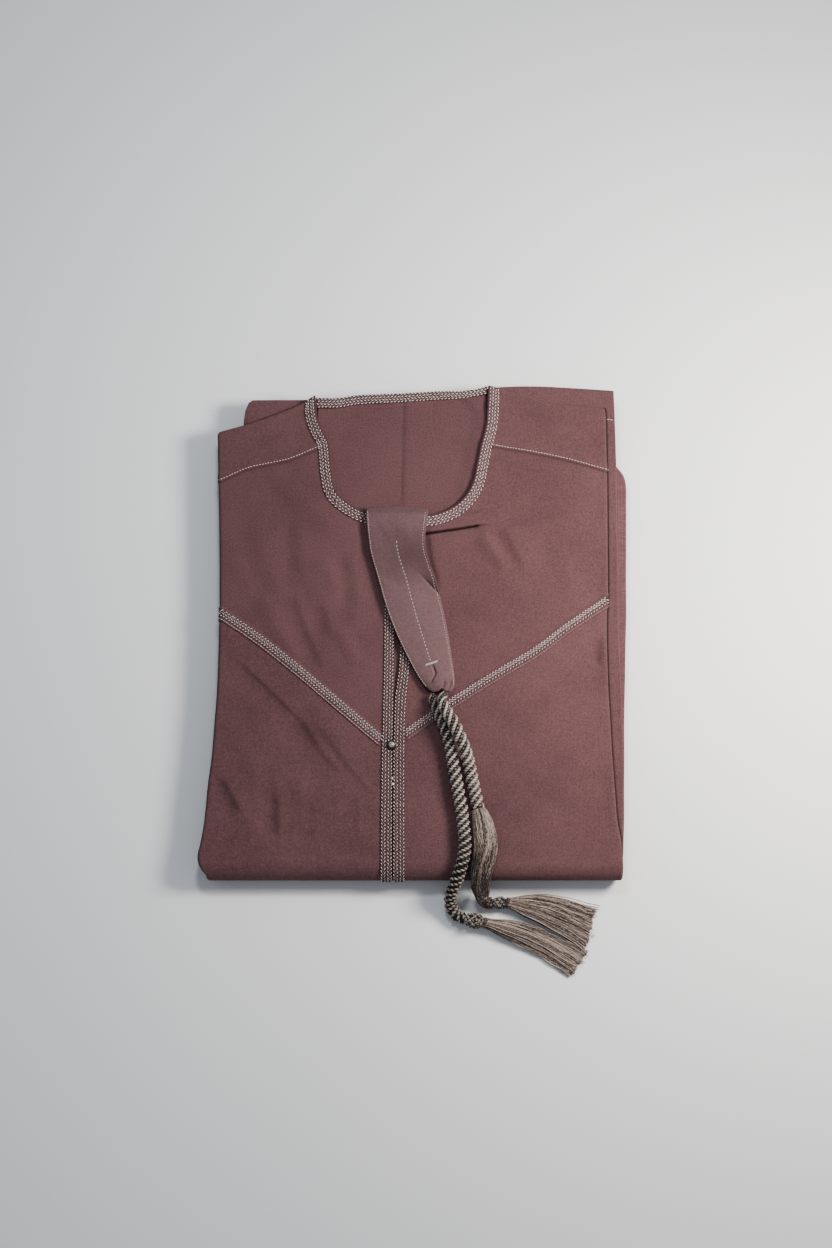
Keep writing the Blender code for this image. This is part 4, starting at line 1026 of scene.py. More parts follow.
def lapLift(x, y):  # the felled seam stands up in a band that ends at its lower fold
    above = seamDistance(x, y)
    within = ease((halfLap + 1.6 - above) / 1.8)
    rows = 0.06 * np.cos(above / halfLap * math.pi * 1.5)
    onStrip = (x > front["stripLeft"]) & (x < front["stripRight"])
    return np.where(onStrip, 0.0, (front["lapHeight"] + rows) * within)


def underEdge(y):  # the left side of the opening reaches under the right one
    return placketEdges[2](y) + 0.6


def slitLift(x, y):
    return -1.15 * ease((x - placketEdges[1](y)) / 0.9)


def underLift(x, y):
    return lapLift(x, y) + slitLift(x, y)


def yokeLift(x, y):
    above = y - np.where(x < 0, leftYoke(x), rightYoke(x))
    ridge = 0.25 * ease((above - 1.2) / 1.5) * (1 - ease((above - 4) / 5))
    return (front["yokeLap"] + ridge) * (1 - ease(above / 9.0))


def noLift(x, y):
    return np.zeros_like(x)


def shoulderShare(x):  # the shoulder's edge turns down, but not at the corners of the neck
    away = np.maximum(leftShoulderRows[-1][0] - x, x - rightShoulderRows[0][0])
    return ease((away - 5.0) / 9.0)


# Rows beside an edge: how far from it, and how far down
shoulderEdge = [(0.0, 2.9), (0.0, 1.9), (0.1, 1.25), (0.45, 0.75), (1.0, 0.35), (1.8, 0.1), (2.8, 0.0)]
plainEdge = [(0.0, 0.0), (0.5, 0.0)]
lapEdge = [(0.0, 0.5), (0.15, 0.12), (0.6, 0.0)]
yoke = {"grain": 1.8, "endRows": shoulderEdge, "dropShare": shoulderShare, "lift": yokeLift}
chest = {"between": (-20.0, 130.0), "startRows": lapEdge}
skirt = {"between": (-240.0, -60.0), "grain": 1.9, "bottom": lambda x: x * 0 + noseFlat()}
panels = {
    "yoke_left": {
        "columns": columnsBetween(
            leftEdge, lambda y: y * 0 - 79.0, spread(-170, -92, 1.8) + leftNeckX[:7], turnLeft=True),
        "top": lambda x: np.where(x > -89.2, np.minimum(leftShoulder(x), neckline(x)), leftShoulder(x)),
        "bottom": lambda x: leftYoke(x) - front["yokeUnder"], "between": (140.0, 190.0), "grainTurn": 82.0,
        "dye": 3.0, **yoke,
    },
    "yoke_right": {
        "columns": columnsBetween(
            lambda y: y * 0 + 59.0, rightEdge, rightNeckX[13:] + spread(65, 161, 1.8), turnRight=True),
        "top": lambda x: np.where(x < 63.6, np.minimum(rightShoulder(x), neckline(x)), rightShoulder(x)),
        "bottom": lambda x: rightYoke(x) - front["yokeUnder"], "between": (150.0, 205.0), "grainTurn": 97.0,
        "dye": 9.0, **yoke,
    },
    "chest_left": {
        "columns": columnsBetween(
            leftEdge, underEdge, spread(-168, -78, 1.6) + leftNeckX[7:13] + spread(-69, -12, 1.6),
            turnLeft=True),
        "top": lambda x: np.where(x <= -76.7, leftYoke(x) + 0.2, neckline(x)),
        "bottom": lambda x: leftChest(x) - halfLap, "grain": 1.6, "lift": underLift, "grainTurn": 3.0,
        "dye": 0.0, **chest,
    },
    "chest_right": {
        "columns": columnsBetween(
            placketEdges[2], rightEdge,
            spread(-13, 47, 1.3) + spread(47.7, 65, 0.62) + spread(66.4, 162, 1.5), turnRight=True),
        "top": lambda x: np.where(x >= 56.9, rightYoke(x) + 0.2, neckline(x)),
        "bottom": lambda x: rightChest(x) - halfLap, "grain": 1.2, "lift": lapLift, "grainTurn": -3.0,
        "dye": 5.0, "rows": towardsFold, **chest,
    },
    "skirt_left": {
        "columns": columnsBetween(
            leftEdge, underEdge, spread(-170, -20, 1.8) + [-19.4, -18.9], turnLeft=True),
        "top": lambda x: leftChest(x) - halfLap + 1.0, "lift": slitLift, "grainTurn": -1.5,
        "dye": 2.0, **skirt,
    },
    "skirt_right": {
        "columns": columnsBetween(placketEdges[2], rightEdge, spread(-20, 162, 1.8), turnRight=True),
        "top": lambda x: rightChest(x) - halfLap + 1.0, "lift": noLift, "grainTurn": 1.5,
        "dye": 7.0, **skirt,
    },
}
cloths = {node: panel(node, piece) for node, piece in panels.items()}
print("front panels made")


# What lies along a line on the cloth is placed by a rail: along, across and up

def railOn(points, outs, height, level):  # a rail beside a line in plan
    points, outs = np.asarray(points, float), np.asarray(outs, float)
    length = lengthAlong(points)

    def rail(along, across, up):
        along, across, up = np.broadcast_arrays(along, across, up)
        x, y = (
            np.interp(along, length, points[:, k]) + np.interp(along, length, outs[:, k]) * across
            for k in (0, 1)
        )
        return level(x, y, height(across) + up)

    return rail, length[-1]


stitch = {
    "thick": 0.45, "crossThick": 0.13, "sink": 0.25, "rise": 0.24, "slant": 0.7, "long": 0.44,
    "uneven": 0.07, "tone": 0.14, "crossTone": 0.12,
    "along": (0.0, 0.22, 0.5, 0.78, 1.0), "swell": (0.55, 0.95, 1.0, 0.95, 0.55),
    "crossAlong": (0.0, 0.35, 0.65, 1.0), "crossSwell": (0.7, 1.0, 1.0, 0.7),
    "crossUp": (-0.05, 0.14, 0.14, -0.05),
}


def stitchRow(bundle, rail, start, end, across, pitch, tone=0.78, thick=None, unitOf=1.0, slant=0.0,
              long=0.78, late=0.08):
    count = max(int(round((end - start) / pitch)), 1)
    pitch = (end - start) / count
    thick = thick or stitch["thick"]
    begin = start + pitch * (np.arange(count)[:, None] + late) + chance.normal(0, 0.05 * pitch, (count, 1))
    share = np.array(stitch["along"])[None]
    along = begin + share * pitch * long
    sink, rise = stitch["sink"], stitch["rise"]
    up = np.array([-sink, rise * 0.7, rise, rise * 0.7, -sink])
    sway = across + (chance.normal(0, stitch["uneven"], (count, 1)) + slant * (share - 0.5)) / unitOf
    points = rail(along, sway, up[None] + 0 * along)
    tones = tone + chance.uniform(-stitch["tone"], stitch["tone"], count)
    bundle.tubes(points, thick * np.array(stitch["swell"])[None], 4, tones)


def crossRow(bundle, rail, start, end, low, high, pitch, lean, tone=0.5, thick=None):
    count = max(int(round((end - start) / pitch)) - 1, 1)
    pitch = (end - start) / (count + 1)
    begin = start + pitch * (np.arange(count)[:, None] + 1.0 - lean * 0.5)
    share = np.array(stitch["crossAlong"])[None]
    along = begin + share * pitch * 0.95 * lean
    points = rail(along, low + (high - low) * share, np.array(stitch["crossUp"]))
    radii = (thick or stitch["crossThick"]) * np.array(stitch["crossSwell"])[None]
    bundle.tubes(points, radii, 3, tone + chance.uniform(-stitch["crossTone"], stitch["crossTone"], count))


def coverSeam(node, rail, start, end, rows, pitch, tone, unitOf=1.0):
    # rows of stitches with a lattice of thread between them
    threads = Bundle()
    for k, row in enumerate(rows):
        slant, late = stitch["slant"] * (-1) ** k, 0.08 + 0.4 * (k % 2)
        stitchRow(threads, rail, start, end, row, pitch, tone, None, unitOf, slant, stitch["long"], late)
    # The lattice threads are drawn darker than the rows: painted shade where they lie low between them
    for k, (low, high) in enumerate(zip(rows, rows[1:])):
        crossRow(threads, rail, start, end, low, high, pitch, (-1) ** k, tone - 0.50)
    threads.stitching(node)


def onCloth(x, y, up):
    return lay(x, y, -up)


# Neck bands

band = {
    "width": 9.0, "height": 1.05, "rows": (1.2, 3.6, 6.0, 8.3), "pitch": 3.15, "step": 1.6, "shade": 0.27,
    "rolled": [  # the inner edge, turned down into the neck: outwards and up
        (-0.3, 1.0), (-0.85, 0.72), (-1.2, 0.25), (-1.32, -0.4), (-1.3, -1.6), (-0.4, -1.6), (-0.3, 0.2),
    ],
}


def neckStations(xs, corner, side):
    fine = []
    for a, b in zip(xs, xs[1:]):
        long = math.hypot(b - a, float(neckline(b)) - float(neckline(a)))
        fine += list(np.linspace(a, b, max(int(long / band["step"]), 1), endpoint=False))
    fine.append(xs[-1])
    points = np.array([(x, float(neckline(x))) for x in fine])
    along = unit(np.gradient(points, axis=0))
    outs = np.stack([along[:, 1], -along[:, 0]], -1)
    tip = points[0] if side > 0 else points[-1]
    share = 1 - ease(np.linalg.norm(points - tip, axis=1) / 18.0)
    outs = unit(outs * (1 - share[:, None]) + np.array(corner) * share[:, None])
    return points, outs


def bandHeight(across):
    edge = np.minimum(across / 0.9, (band["width"] - across) / 0.7)
    rows = sum(bell(across - row, 0.55) for row in band["rows"])
    return band["height"] * (0.78 + 0.22 * ease(edge)) - 0.16 * rows


def bandProfile():
    across = np.concatenate([[9.0, 8.95], np.linspace(8.7, 0.4, 22)])
    up = bandHeight(across)
    up[0], up[1] = 0.2, 0.72
    return list(zip(across, up)) + band["rolled"]


def makeNeckBand(node, xs, corner, side, pale):
    points, outs = neckStations(xs, corner, side)
    rings, flats, profile = [], [], bandProfile()
    for (x, y), (outX, outY), long in zip(points, outs, lengthAlong(points)):
        ring = []
        wobble = 0.10 * math.sin(long / 1.9) + 0.08 * math.sin(long / 0.8)
        for out, up in profile:
            near = max(out, 0.0)
            level = float(lay(x + outX * near, y + outY * near, 0.0)[2])
            moved = out + 0.12 * math.sin(long / 2.6 + 1) * (out < 0)
            ring.append((x + outX * moved, y + outY * moved, level + up + wobble * (up > 0.5)))
        rings.append(ring)
        flats.append([(long, out, 4.0) for out, _ in profile])
    # Painted shade: the band cloth is darker between its stitch rows, and darker still on its rolled inner
    # edge. pale is painted light, which makes the right band's cloth and stitches paler
    tones = np.where(np.array(flats)[..., 1].ravel() < -0.2, 0.32, band["shade"] + 2.0 * pale)
    bundle = Bundle()
    bundle.loft(rings, tones, flats)
    bundle.clothPiece(node)
    rail, long = railOn(points, outs, bandHeight, onCloth)
    coverSeam(node, rail, 0.4, long - 0.4, band["rows"], band["pitch"], 0.88 + pale * 3)


makeNeckBand("neck_band_left", leftNeckX + [-19.3], (-0.84, -0.54), 1, 0.0)
makeNeckBand("neck_band_right", [-12.7] + rightNeckX, (0.95, -0.31), -1, 0.07)


# Placket strips

strip = {
    "height": 1.15, "low": 0.30, "top": 85.4, "under": 134.0, "grain": 1.5, "rows": (0.09, 0.36, 0.64, 0.91),
    "pitch": 3.05, "wide": 9.0,
}


def stripHeight(share):
    rows = sum(bell(share - row, 0.055) for row in strip["rows"])
    return strip["height"] * (0.80 + 0.20 * ease(np.minimum(share, 1 - share) / 0.07)) - 0.17 * rows


def makePlacket(node, first, second):
    top, bottom = strip["top"], front["noseY"] - front["noseR"] * math.radians(strip["under"])
    shares = np.concatenate([[0.0, 0.015], np.linspace(0.04, 0.96, 22), [0.985, 1.0]])
    y = np.array(spread(top, bottom, strip["grain"]))[::-1, None] + 0 * shares
    a, b = placketEdges[first](y), placketEdges[second](y)
    x = a + 0.1 + (b - a - 0.2) * shares
    up = stripHeight(shares) + 0.07 * np.sin(y / 1.7) + 0.05 * np.sin(y / 0.9 + x)
    up[:, 0] = up[:, -1] = 0.62
    inner = (1 - shares if first == 0 else shares) * strip["wide"]
    # Painted shade: the strip's cloth is darker between its stitch rows, and darker still along its inner
    # edge, at the gap between the strips
    tones = band["shade"] - 0.22 * bell(inner, 0.7) + 0 * y
    bundle = Bundle()
    bundle.wall(lay(x, y, -up), lay(x, y, -strip["low"]), tones, stacked(x, y, 6.0))
    bundle.clothPiece(node)

    def rail(along, across, up):
        down = top - along
        a, b = placketEdges[first](down), placketEdges[second](down)
        return lay(a + (b - a) * across, down, -(stripHeight(across) + up))

    coverSeam(node, rail, 0.5, top - bottom - 0.5, strip["rows"], strip["pitch"], 0.80, 9.5)


makePlacket("placket_left", 0, 1)
makePlacket("placket_right", 2, 3)


# Stitching of the chest and yoke seams

def seamRail(line, xs, height):
    xs = np.array(xs)
    points = np.stack([xs, line(xs)], -1)
    along = unit(np.gradient(points, axis=0))
    return railOn(points, np.stack([-along[:, 1], along[:, 0]], -1), height, onCloth)


def chestLap(across):
    return np.where(np.abs(across) < 4.9, front["lapHeight"], 0.0)


seamSewing = {
    "pitch": 2.9, "tone": 1.0, "thick": 0.39, "long": 0.44, "inset": 0.1,
    "rows": ((3.5, 0.9, 0.08), (1.2, -0.9, 0.5), (-1.1, 0.9, 0.08)),  # across, slant, how late
    "crosses": ((1.2, 3.5, -1, 0.80, 0.26), (-1.1, 1.2, 1, 0.45, 0.12)),  # low, high, lean, tone, thickness
    "loneRow": -3.6, "lonePitch": 2.6,
}
yokeSewing = {"row": 0.6, "pitch": 2.5, "tone": 1.0, "thick": 0.27, "long": 0.62, "inset": 0.2}


def makeSeamStitching():
    threads, look = Bundle(), seamSewing
    leftStart, rightEnd = float(leftFold(10.0)) - 2.0, float(rightFold(22.0)) + 1.0
    seams = (
        (leftChest, spread(leftStart, -29.6, 2.0), 0.84, 0.27),
        (rightChest, spread(-9.4, rightEnd, 2.0), 0.50, 0.14),
    )
    for line, xs, tone, thick in seams:
        rail, long = seamRail(line, xs, chestLap)
        reach = (look["inset"], long - look["inset"])
        for row, slant, late in look["rows"]:
            stitchRow(threads, rail, *reach, row, look["pitch"], look["tone"], look["thick"], slant=slant,
                      long=look["long"], late=late)
        for low, high, lean, crossTone, crossThick in look["crosses"]:
            crossRow(threads, rail, *reach, low, high, look["pitch"], lean, crossTone, crossThick)
        stitchRow(threads, rail, *reach, look["loneRow"], look["lonePitch"], tone, thick)
    threads.stitching("chest_seam")
    threads, look = Bundle(), yokeSewing
    for line, xs in ((leftYoke, spread(-174.5, -78.5, 2.0)), (rightYoke, spread(65.5, 167.5, 2.0))):
        rail, long = seamRail(line, xs, lambda across: across * 0 + front["yokeLap"])
        reach = (look["inset"], long - look["inset"])
        stitchRow(threads, rail, *reach, look["row"], look["pitch"], look["tone"], look["thick"],
                  long=look["long"])
    threads.stitching("yoke_seam")


makeSeamStitching()
print("seams sewn")


# The inside of the back and its band, seen through the neck

backLook = {
    "top": 23.9, "low": 22.3, "step": 1.5, "rows": 62, "creaseX": -13.0,
    "ridge": (42.0, 204.0, 62.0, 184.0), "trough": (-60.0, 190.0, -72.0, 150.0),
}


def makeBack():
    xs = np.array(spread(-85.6, 60.4, backLook["step"]))
    low, high = neckline(xs) - 8.0, backNeck(xs) - 0.9
    y = low + (high - low) * np.linspace(0, 1, backLook["rows"])[:, None]
    x = xs + 0 * y
    creaseX = backLook["creaseX"] + 2.4 * (y - 100) / 100
    right = np.maximum(x - creaseX, 0.0)
    z = backLook["top"] + 1.0 * (1 - np.exp(-right / 2.4)) * np.exp(-right / 20.0) * ease((y - 88) / 40)
    # Painted shade along the centre crease
    tone = 0.5 - 0.10 * bell(x - creaseX - 0.4, 0.9) * ease((y - 95) / 30)
    z = z - 0.35 * (1 - ease(np.abs(x + 5) / 16)) * ease((y - 150) / 30)
    away, along, _ = toLine(x, y, *backLook["ridge"])
    z = z + 1.0 * (1 - ease(away / 5.0)) * (1 - 0.7 * along)
    # Painted shade along the ridge fold
    tone = tone - 0.09 * bell(away, 2.2) * (1 - along)
    z = z + 1.9 * (1 - ease(neckDistance(x, y) / 17.0)) * ease(x / 30.0) * ease((200 - y) / 20)
    away, along, _ = toLine(x, y, *backLook["trough"])
    z = z - 0.35 * (1 - ease(away / 10.0)) * np.sin(math.pi * along)
    z = z + 0.16 * np.sin(x / 9.0 + y / 23.0) + 0.12 * np.sin(y / 8.0 - x / 17.0)
    bundle = Bundle()
    bundle.wall(stacked(x, y, z), stacked(x, y, backLook["low"]), tone, stacked(x, y, 12.0))
    return bundle.clothPiece("back")


backBand = {
    "rows": (0.12, 0.38, 0.64, 0.90), "under": 22.5,
    "shift": [(-88, 0.5), (-20, 0.8), (20, 0.6), (33, -0.3), (44, -1.6), (52, -1.0), (61, 0.0)],
    "width": [(-88, 9.6), (-70, 9.2), (-20, 8.7), (20, 8.4), (33, 7.6), (44, 6.2), (52, 6.6), (61, 7.4)],
}


def makeBackBand():
    xs = np.array(spread(-87.7, 61.6, 1.6))
    edge = backNeck(xs) + np.interp(xs, *zip(*backBand["shift"]))
    width = np.interp(xs, *zip(*backBand["width"]))
    level, under = backLook["top"], backBand["under"]
    top = level + 0.9 + 0.9 * ease((np.abs(xs + 12.0) - 40.0) / 34.0)
    rings, flats = [], []
    for x, y, wide, up in zip(xs, edge, width, top):
        ring = [(x, y - wide, level + 0.3)]
        for share in np.linspace(0.985, 0.14, 16):
            groove = 0.15 * sum(bell(share - row, 0.06) for row in backBand["rows"])
            ring.append((x, y - wide * share, up - groove + 0.08 * math.sin(x / 1.6 + share * 3)))
        ring += [(x, y - 0.35, up - 0.4), (x, y, up - 1.3), (x, y - 0.1, under)]
        ring += [(x, y - 0.6, under), (x, y - 0.6, level + 0.3)]
        rings.append(ring)
        flats.append([(x, n * 0.6, 4.0) for n in range(len(ring))])
    bundle = Bundle()
    # Painted shade: the band cloth is darkened between its stitch rows, as on the neck bands
    bundle.loft(rings, band["shade"], flats)
    bundle.clothPiece("neck_band_back")

    def rail(along, across, up):
        x = xs[0] + along
        y = np.interp(x, xs, edge) - np.interp(x, xs, width) * across
        return stacked(x, y, np.interp(x, xs, top) + up - 0.1)

    coverSeam("neck_band_back", rail, 0.6, xs[-1] - xs[0] - 0.6, backBand["rows"], band["pitch"], 1.0, 8.6)


cloths["back"] = makeBack()
makeBackBand()


# The skirt's end, folded up behind, with its hem

hem = {
    "low": 20.3, "top": 22.0, "left": -150.6, "right": 172.3, "bottom": -200.0, "deep": 25.0, "round": 0.85,
    "seamX": 66.0, "seamLong": 105.5,
}
hemTopRows = [
    (-150.6, 184.0), (-148.6, 196.5), (-145.4, 201.4), (-142.6, 202.8), (-98.0, 203.0), (-60.0, 203.4),
    (0.0, 206.6), (40.0, 209.2), (72.0, 214.6), (98.3, 215.5), (140.0, 213.6), (172.3, 211.4),
]
hemRightRows = [
    (-200.6, 170.0), (-190.0, 171.6), (-114.0, 174.0), (-54.0, 173.6), (0.0, 172.4), (60.0, 172.6),
    (140.0, 173.2), (184.0, 172.8), (211.4, 172.3),
]
hemTop = curveThrough(hemTopRows)
hemRight = curveThrough(hemRightRows)


def makeHem():
    fine = np.linspace(0.958, 0.9945, 20)
    shares = np.concatenate([
        [0, 0.0008, 0.0022, 0.004], np.linspace(0.012, 0.955, 100), fine, [0.996, 0.9978, 0.9992, 1],
    ])
    down = np.concatenate([[0, 0.25, 0.7, 1.4, 2.4], np.arange(4.0, 34.0, 2.0), np.arange(35.0, 410.0, 6.0)])
    left, bottom = hem["left"], hem["bottom"]
    top = hemTop(left + (hem["right"] - left) * shares)
    y = top[None] - down[:, None] / down[-1] * (top[None] - bottom)
    y[:20] = np.maximum(top[None] - down[:20, None], bottom)
    y = y[::-1]
    x = left + (hemRight(y) - left) * shares
    edge = np.minimum.reduce([x - left, hemRight(y) - x, top[None] - y])
    thick = hem["round"] * np.sqrt(np.clip(1 - (1 - np.clip(edge / hem["round"], 0, 1)) ** 2, 0, 1))
    middle = (hem["low"] + hem["top"]) / 2
    step = 0.18 * ease((hem["deep"] - (top[None] - y)) / 1.5) - 0.18
    wave = 0.10 * np.sin(x / 11.0 + y / 19.0) + 0.08 * np.sin(y / 7.0)
    outer = stacked(x, y, middle + thick + (step + wave) * ease(edge / 4))
    beside = np.maximum(x - rightFold(y) - 0.3, 0.0)
    # Painted shadow: a dark strip on the hem beside the front's right fold
    tones = 0.5 - 0.44 * bell(beside, 0.9) * (y < rightShoulder(x)) * (x > rightFold(y) - 2.0)
    bundle = Bundle()
    bundle.wall(outer, stacked(x, y, middle - thick), tones, stacked(x, y, 15.0))
    made = bundle.clothPiece("skirt_hem")

    def rail(along, across, up):
        x = hem["seamX"] + along
        return stacked(x, hemTop(x) - hem["deep"] + across, hem["top"] + up - 0.1)

    threads = Bundle()
    stitchRow(threads, rail, 0.0, hem["seamLong"], -2.0, 3.0, 0.80, 0.30)
    threads.stitching("skirt_hem")
    return made


cloths["skirt_hem"] = makeHem()


# The layers folded away inside, with their folded edges

inside = {
    "fillR": 10.8, "points": 460, "ledge": 4.0, "near": 1.3, "layers": [
        # low, high, left in, top,  wide at the right, plies
        (0.0, 5.8, 3.4, 196.0, False, 3),
        (6.1, 9.6, 2.2, 199.0, False, 2),
        (9.9, 13.0, 4.2, 194.0, True, 2),
        (13.3, 16.5, 2.6, 200.0, True, 2),
        (16.8, 20.0, 3.6, 197.0, False, 2),
    ],
    "ply": ((0.04, 1.0), (0.2, 0.32), (0.5, 0.0), (0.8, 0.32), (0.96, 1.0)),  # share of its height, inset
}
insideRight = [
    # y,     wide,  others
    (-194.0, 173.6, 171.6),
    (-150.0, 175.0, 173.2),
    (-100.0, 176.2, 174.2),
    (-40.0, 178.2, 173.8),
    (30.0, 180.6, 174.4),
    (90.0, 182.0, 174.0),
    (124.0, 182.5, 174.2),
    (133.0, 181.8, 174.0),
    (139.5, 179.0, 173.6),
    (143.0, 174.6, 173.0),
    (149.0, 172.0, 172.0),
    (190.0, 171.2, 171.0),
]


def layerOutline(leftIn, top, wide, z):
    end = front["noseY"] + (front["floorRun"] - 0.9 if z < front["wall"] + 0.1 else -0.6)
    if z > front["noseR"] - inside["fillR"]:  # rounded where it fills the fold
        end = front["noseY"] - math.sqrt(max(inside["fillR"] ** 2 - (z - front["noseR"]) ** 2, 0.0))
    corner = float(leftFold(-190.0))
    ring = [(corner + 20.0, end), (0.0, end), (160.0, end), (167.0, end + 1.0), (170.4, end + 2.8)]
    ring += [(row[1 if wide else 2], row[0]) for row in insideRight]
    ring += [(167.5, top - 1.5), (160.0, top), (110.0, top), (70.0, top + 3.0), (0.0, top)]
    ring += [(-80.0, top - 2.0), (-96.0, top - 6.0), (-130.0, 178.0), (-160.0, 169.0)]
    for y in (160.0, 120.0, 70.0, 20.0, -30.0, -80.0, -120.0, -150.0, -172.0, -188.0):
        ring.append((float(leftFold(y)) + leftIn, y))
    ring += [(corner + 7.0, min(end + 4.0, -191.0)), (corner + 12.0, end + 1.2)]
    return np.array(ring + ring[:1])


def makeInside():
    rings, flats, tones = [], [], []
    count = inside["points"]
    for number, (low, high, leftIn, top, wide, plies) in enumerate(inside["layers"]):
        thick = (high - low) / plies
        for ply, (share, inset) in itertools.product(range(plies), inside["ply"]):
            z = low + ply * thick + thick * share
            closed = layerOutline(leftIn, top, wide, z)
            length = lengthAlong(closed)
            places = np.linspace(0, length[-1], count, endpoint=False)
            points = np.stack([np.interp(places, length, closed[:, k]) for k in (0, 1)], -1)
            for _ in range(2):
                points = (np.roll(points, 1, 0) + points * 2 + np.roll(points, -1, 0)) / 4
            along = unit(np.roll(points, -1, 0) - np.roll(points, 1, 0))
            outward = np.stack([along[:, 1], -along[:, 0]], -1)
            key = number * 3.1 + ply * 1.7
            wave = 0.35 * np.sin(places / 23.0 + key) + 0.25 * np.sin(places / 9.5 + 2 * key)
            sink = 0.9 * inset + 0.45 + 0.45 * (ply % 2) - wave * 0.5
            points = points - outward * np.maximum(sink, 0.0)[:, None]
            lifted = 0.10 * (0.04 < share < 0.96) * bool(number or ply)
            height = z + lifted * np.sin(places / 31.0 + key)
            ring, flat = np.column_stack([points, height]), stacked(places, height * 2, number)
            ledge = np.linalg.norm(rings[-1][:, :2] - points, axis=1) if rings else np.zeros(count)
            if ledge.max() > inside["ledge"]:  # one more ring, so that the shade at the foot stays narrow
                near = np.minimum(inside["near"] / np.maximum(ledge, 0.1), 0.5)[:, None]
                rings.append(ring + (rings[-1] - ring) * near)
                flats.append(flat + (flats[-1] - flat) * near)
                tones.append(np.full(count, 0.5))
            rings.append(ring)
            flats.append(flat)
            # Painted shade at the foot of each step from one layer to the next
            tones.append(np.where(ledge > 3.0, 0.10, 0.5))
    bundle = Bundle()
    bundle.loft(rings, tones, flats)
    bundle.clothPiece("hidden_layers")


makeInside()
print("back, hem and inner layers made")


# The tab

tab = {
    "thick": 2.0, "across": 46, "step": 1.1, "edgeRow": 0.045, "centreRow": 0.49, "over": 96.0, "bars": 9,
    "width": 50.0,
}
tabSeams = [
    # across, from the top, from the tip, pitch, tone, thickness, length
    (0.026, 9.0, 7.0, 2.3, 0.80, 0.25, 0.55),
    (1 - tab["edgeRow"], 9.0, 7.0, 2.4, 0.84, 0.22, 0.55),
    (tab["centreRow"], 36.0, 32.0, 3.3, 1.0, 0.29, 0.50),
]
tabRows = [
    # left x, left y, right x, right y, z left, z mid, z right
    (-42.2, 102.9, 9.2, 101.7, 25.4, 25.4, 25.4),
    (-42.8, 102.7, 9.3, 101.5, 28.8, 28.8, 28.8),
    (-43.1, 101.6, 9.5, 100.4, 31.3, 31.4, 31.3),
    (-43.3, 98.4, 9.8, 97.6, 32.3, 32.5, 32.3),
    (-42.6, 86.0, 8.6, 87.0, 32.5, 33.2, 32.7),
    (-41.3, 75.0, 7.4, 76.0, 32.5, 33.6, 33.1),
    (-39.7, 64.0, 8.2, 64.0, 32.5, 34.0, 34.2),
    (-36.5, 52.0, 11.5, 52.5, 32.4, 34.4, 35.0),
    (-33.0, 40.0, 15.7, 41.0, 32.2, 34.6, 34.8),
    (-27.6, 20.4, 20.5, 22.0, 32.2, 34.6, 34.2),
    (-22.0, 4.0, 24.2, 5.0, 32.0, 34.2, 33.6),
    (-14.2, -14.5, 27.4, -13.0, 31.8, 33.8, 33.2),
    (-6.5, -30.0, 30.0, -30.0, 31.6, 33.6, 32.8),
    (1.5, -44.5, 32.0, -45.0, 31.8, 34.2, 33.0),
    (8.6, -54.2, 31.8, -53.0, 32.6, 35.6, 34.0),
    (13.4, -58.2, 29.0, -57.8, 33.6, 36.4, 35.0),
]
tabCreases = [
    # x0,  y0,   x1,   y1,  half width, height
    (-32.0, 92.0, -18.0, 70.0, 6.0, 0.35),
    (-6.0, 88.0, 2.0, 70.0, 6.0, -0.45),
    (-28.0, 48.0, -12.0, 30.0, 7.0, -0.40),
    (13.5, -35.0, 16.5, -43.0, 1.9, -1.5),
    (16.5, -42.0, 12.0, -51.0, 1.9, -1.7),
    (24.0, -50.0, 22.0, -57.0, 2.6, -0.8),
    (27.0, -57.0, 29.5, -49.5, 1.8, -0.8),
]
tabFold = {"line": (-9.0, 55.0, 18.5, 25.5), "sink": 4.2, "rise": 0.3, "reach": 9.0}


def tabDetail(x, y):
    up = np.zeros_like(x)
    for x0, y0, x1, y1, half, height in tabCreases:
        away, along, _ = toLine(x, y, x0, y0, x1, y1)
        up += height * (1 - ease(away / half)) * ends(along, 3, 0.2)
    away, along, side = toLine(x, y, *tabFold["line"])
    strength = ease((along - 0.26) * 1.8)
    sunk = tabFold["sink"] * np.exp(-away / tabFold["reach"]) * ease((side + 0.3) / 0.9)
    raised = tabFold["rise"] * np.exp(-away / 5.0) * ease((0.3 - side) / 0.9)
    return up + (raised - sunk) * strength + 0.10 * np.sin(x / 6.1 + y / 9.0) + 0.07 * np.sin(y / 4.3)


# Painted shade on the tab: darker over its upper part, at its top edge and tip, deep in the dip above the
# fold line, and along the creases near the tip
def tabShade(x, y):
    away, along, side = toLine(x, y, *tabFold["line"])
    dip = ease(along * 1.3 - 0.1) * ease((side + 0.4) / 0.8)
    tone = 0.48 - 0.14 * ease((y - 12.0) / 48.0) - 0.10 * ease((y - 95.5) / 4.0) + 0.07 * ease((y - 76) / 16)
    tone = tone - 0.11 * bell(y - 60.0, 18.0) * ease((x + 36.0) / 30.0) - 0.08 * ease((-40 - y) / 14)
    tone = tone - dip * (0.34 * np.exp(-away / 3.4) * ease((along - 0.30) / 0.5) + 0.15 * bell(away, 12.0))
    for row in tabCreases[3:]:
        tone = tone - 0.20 * bell(toLine(x, y, *row[:4])[0], 0.9)
    return np.clip(tone, 0.03, 0.5)


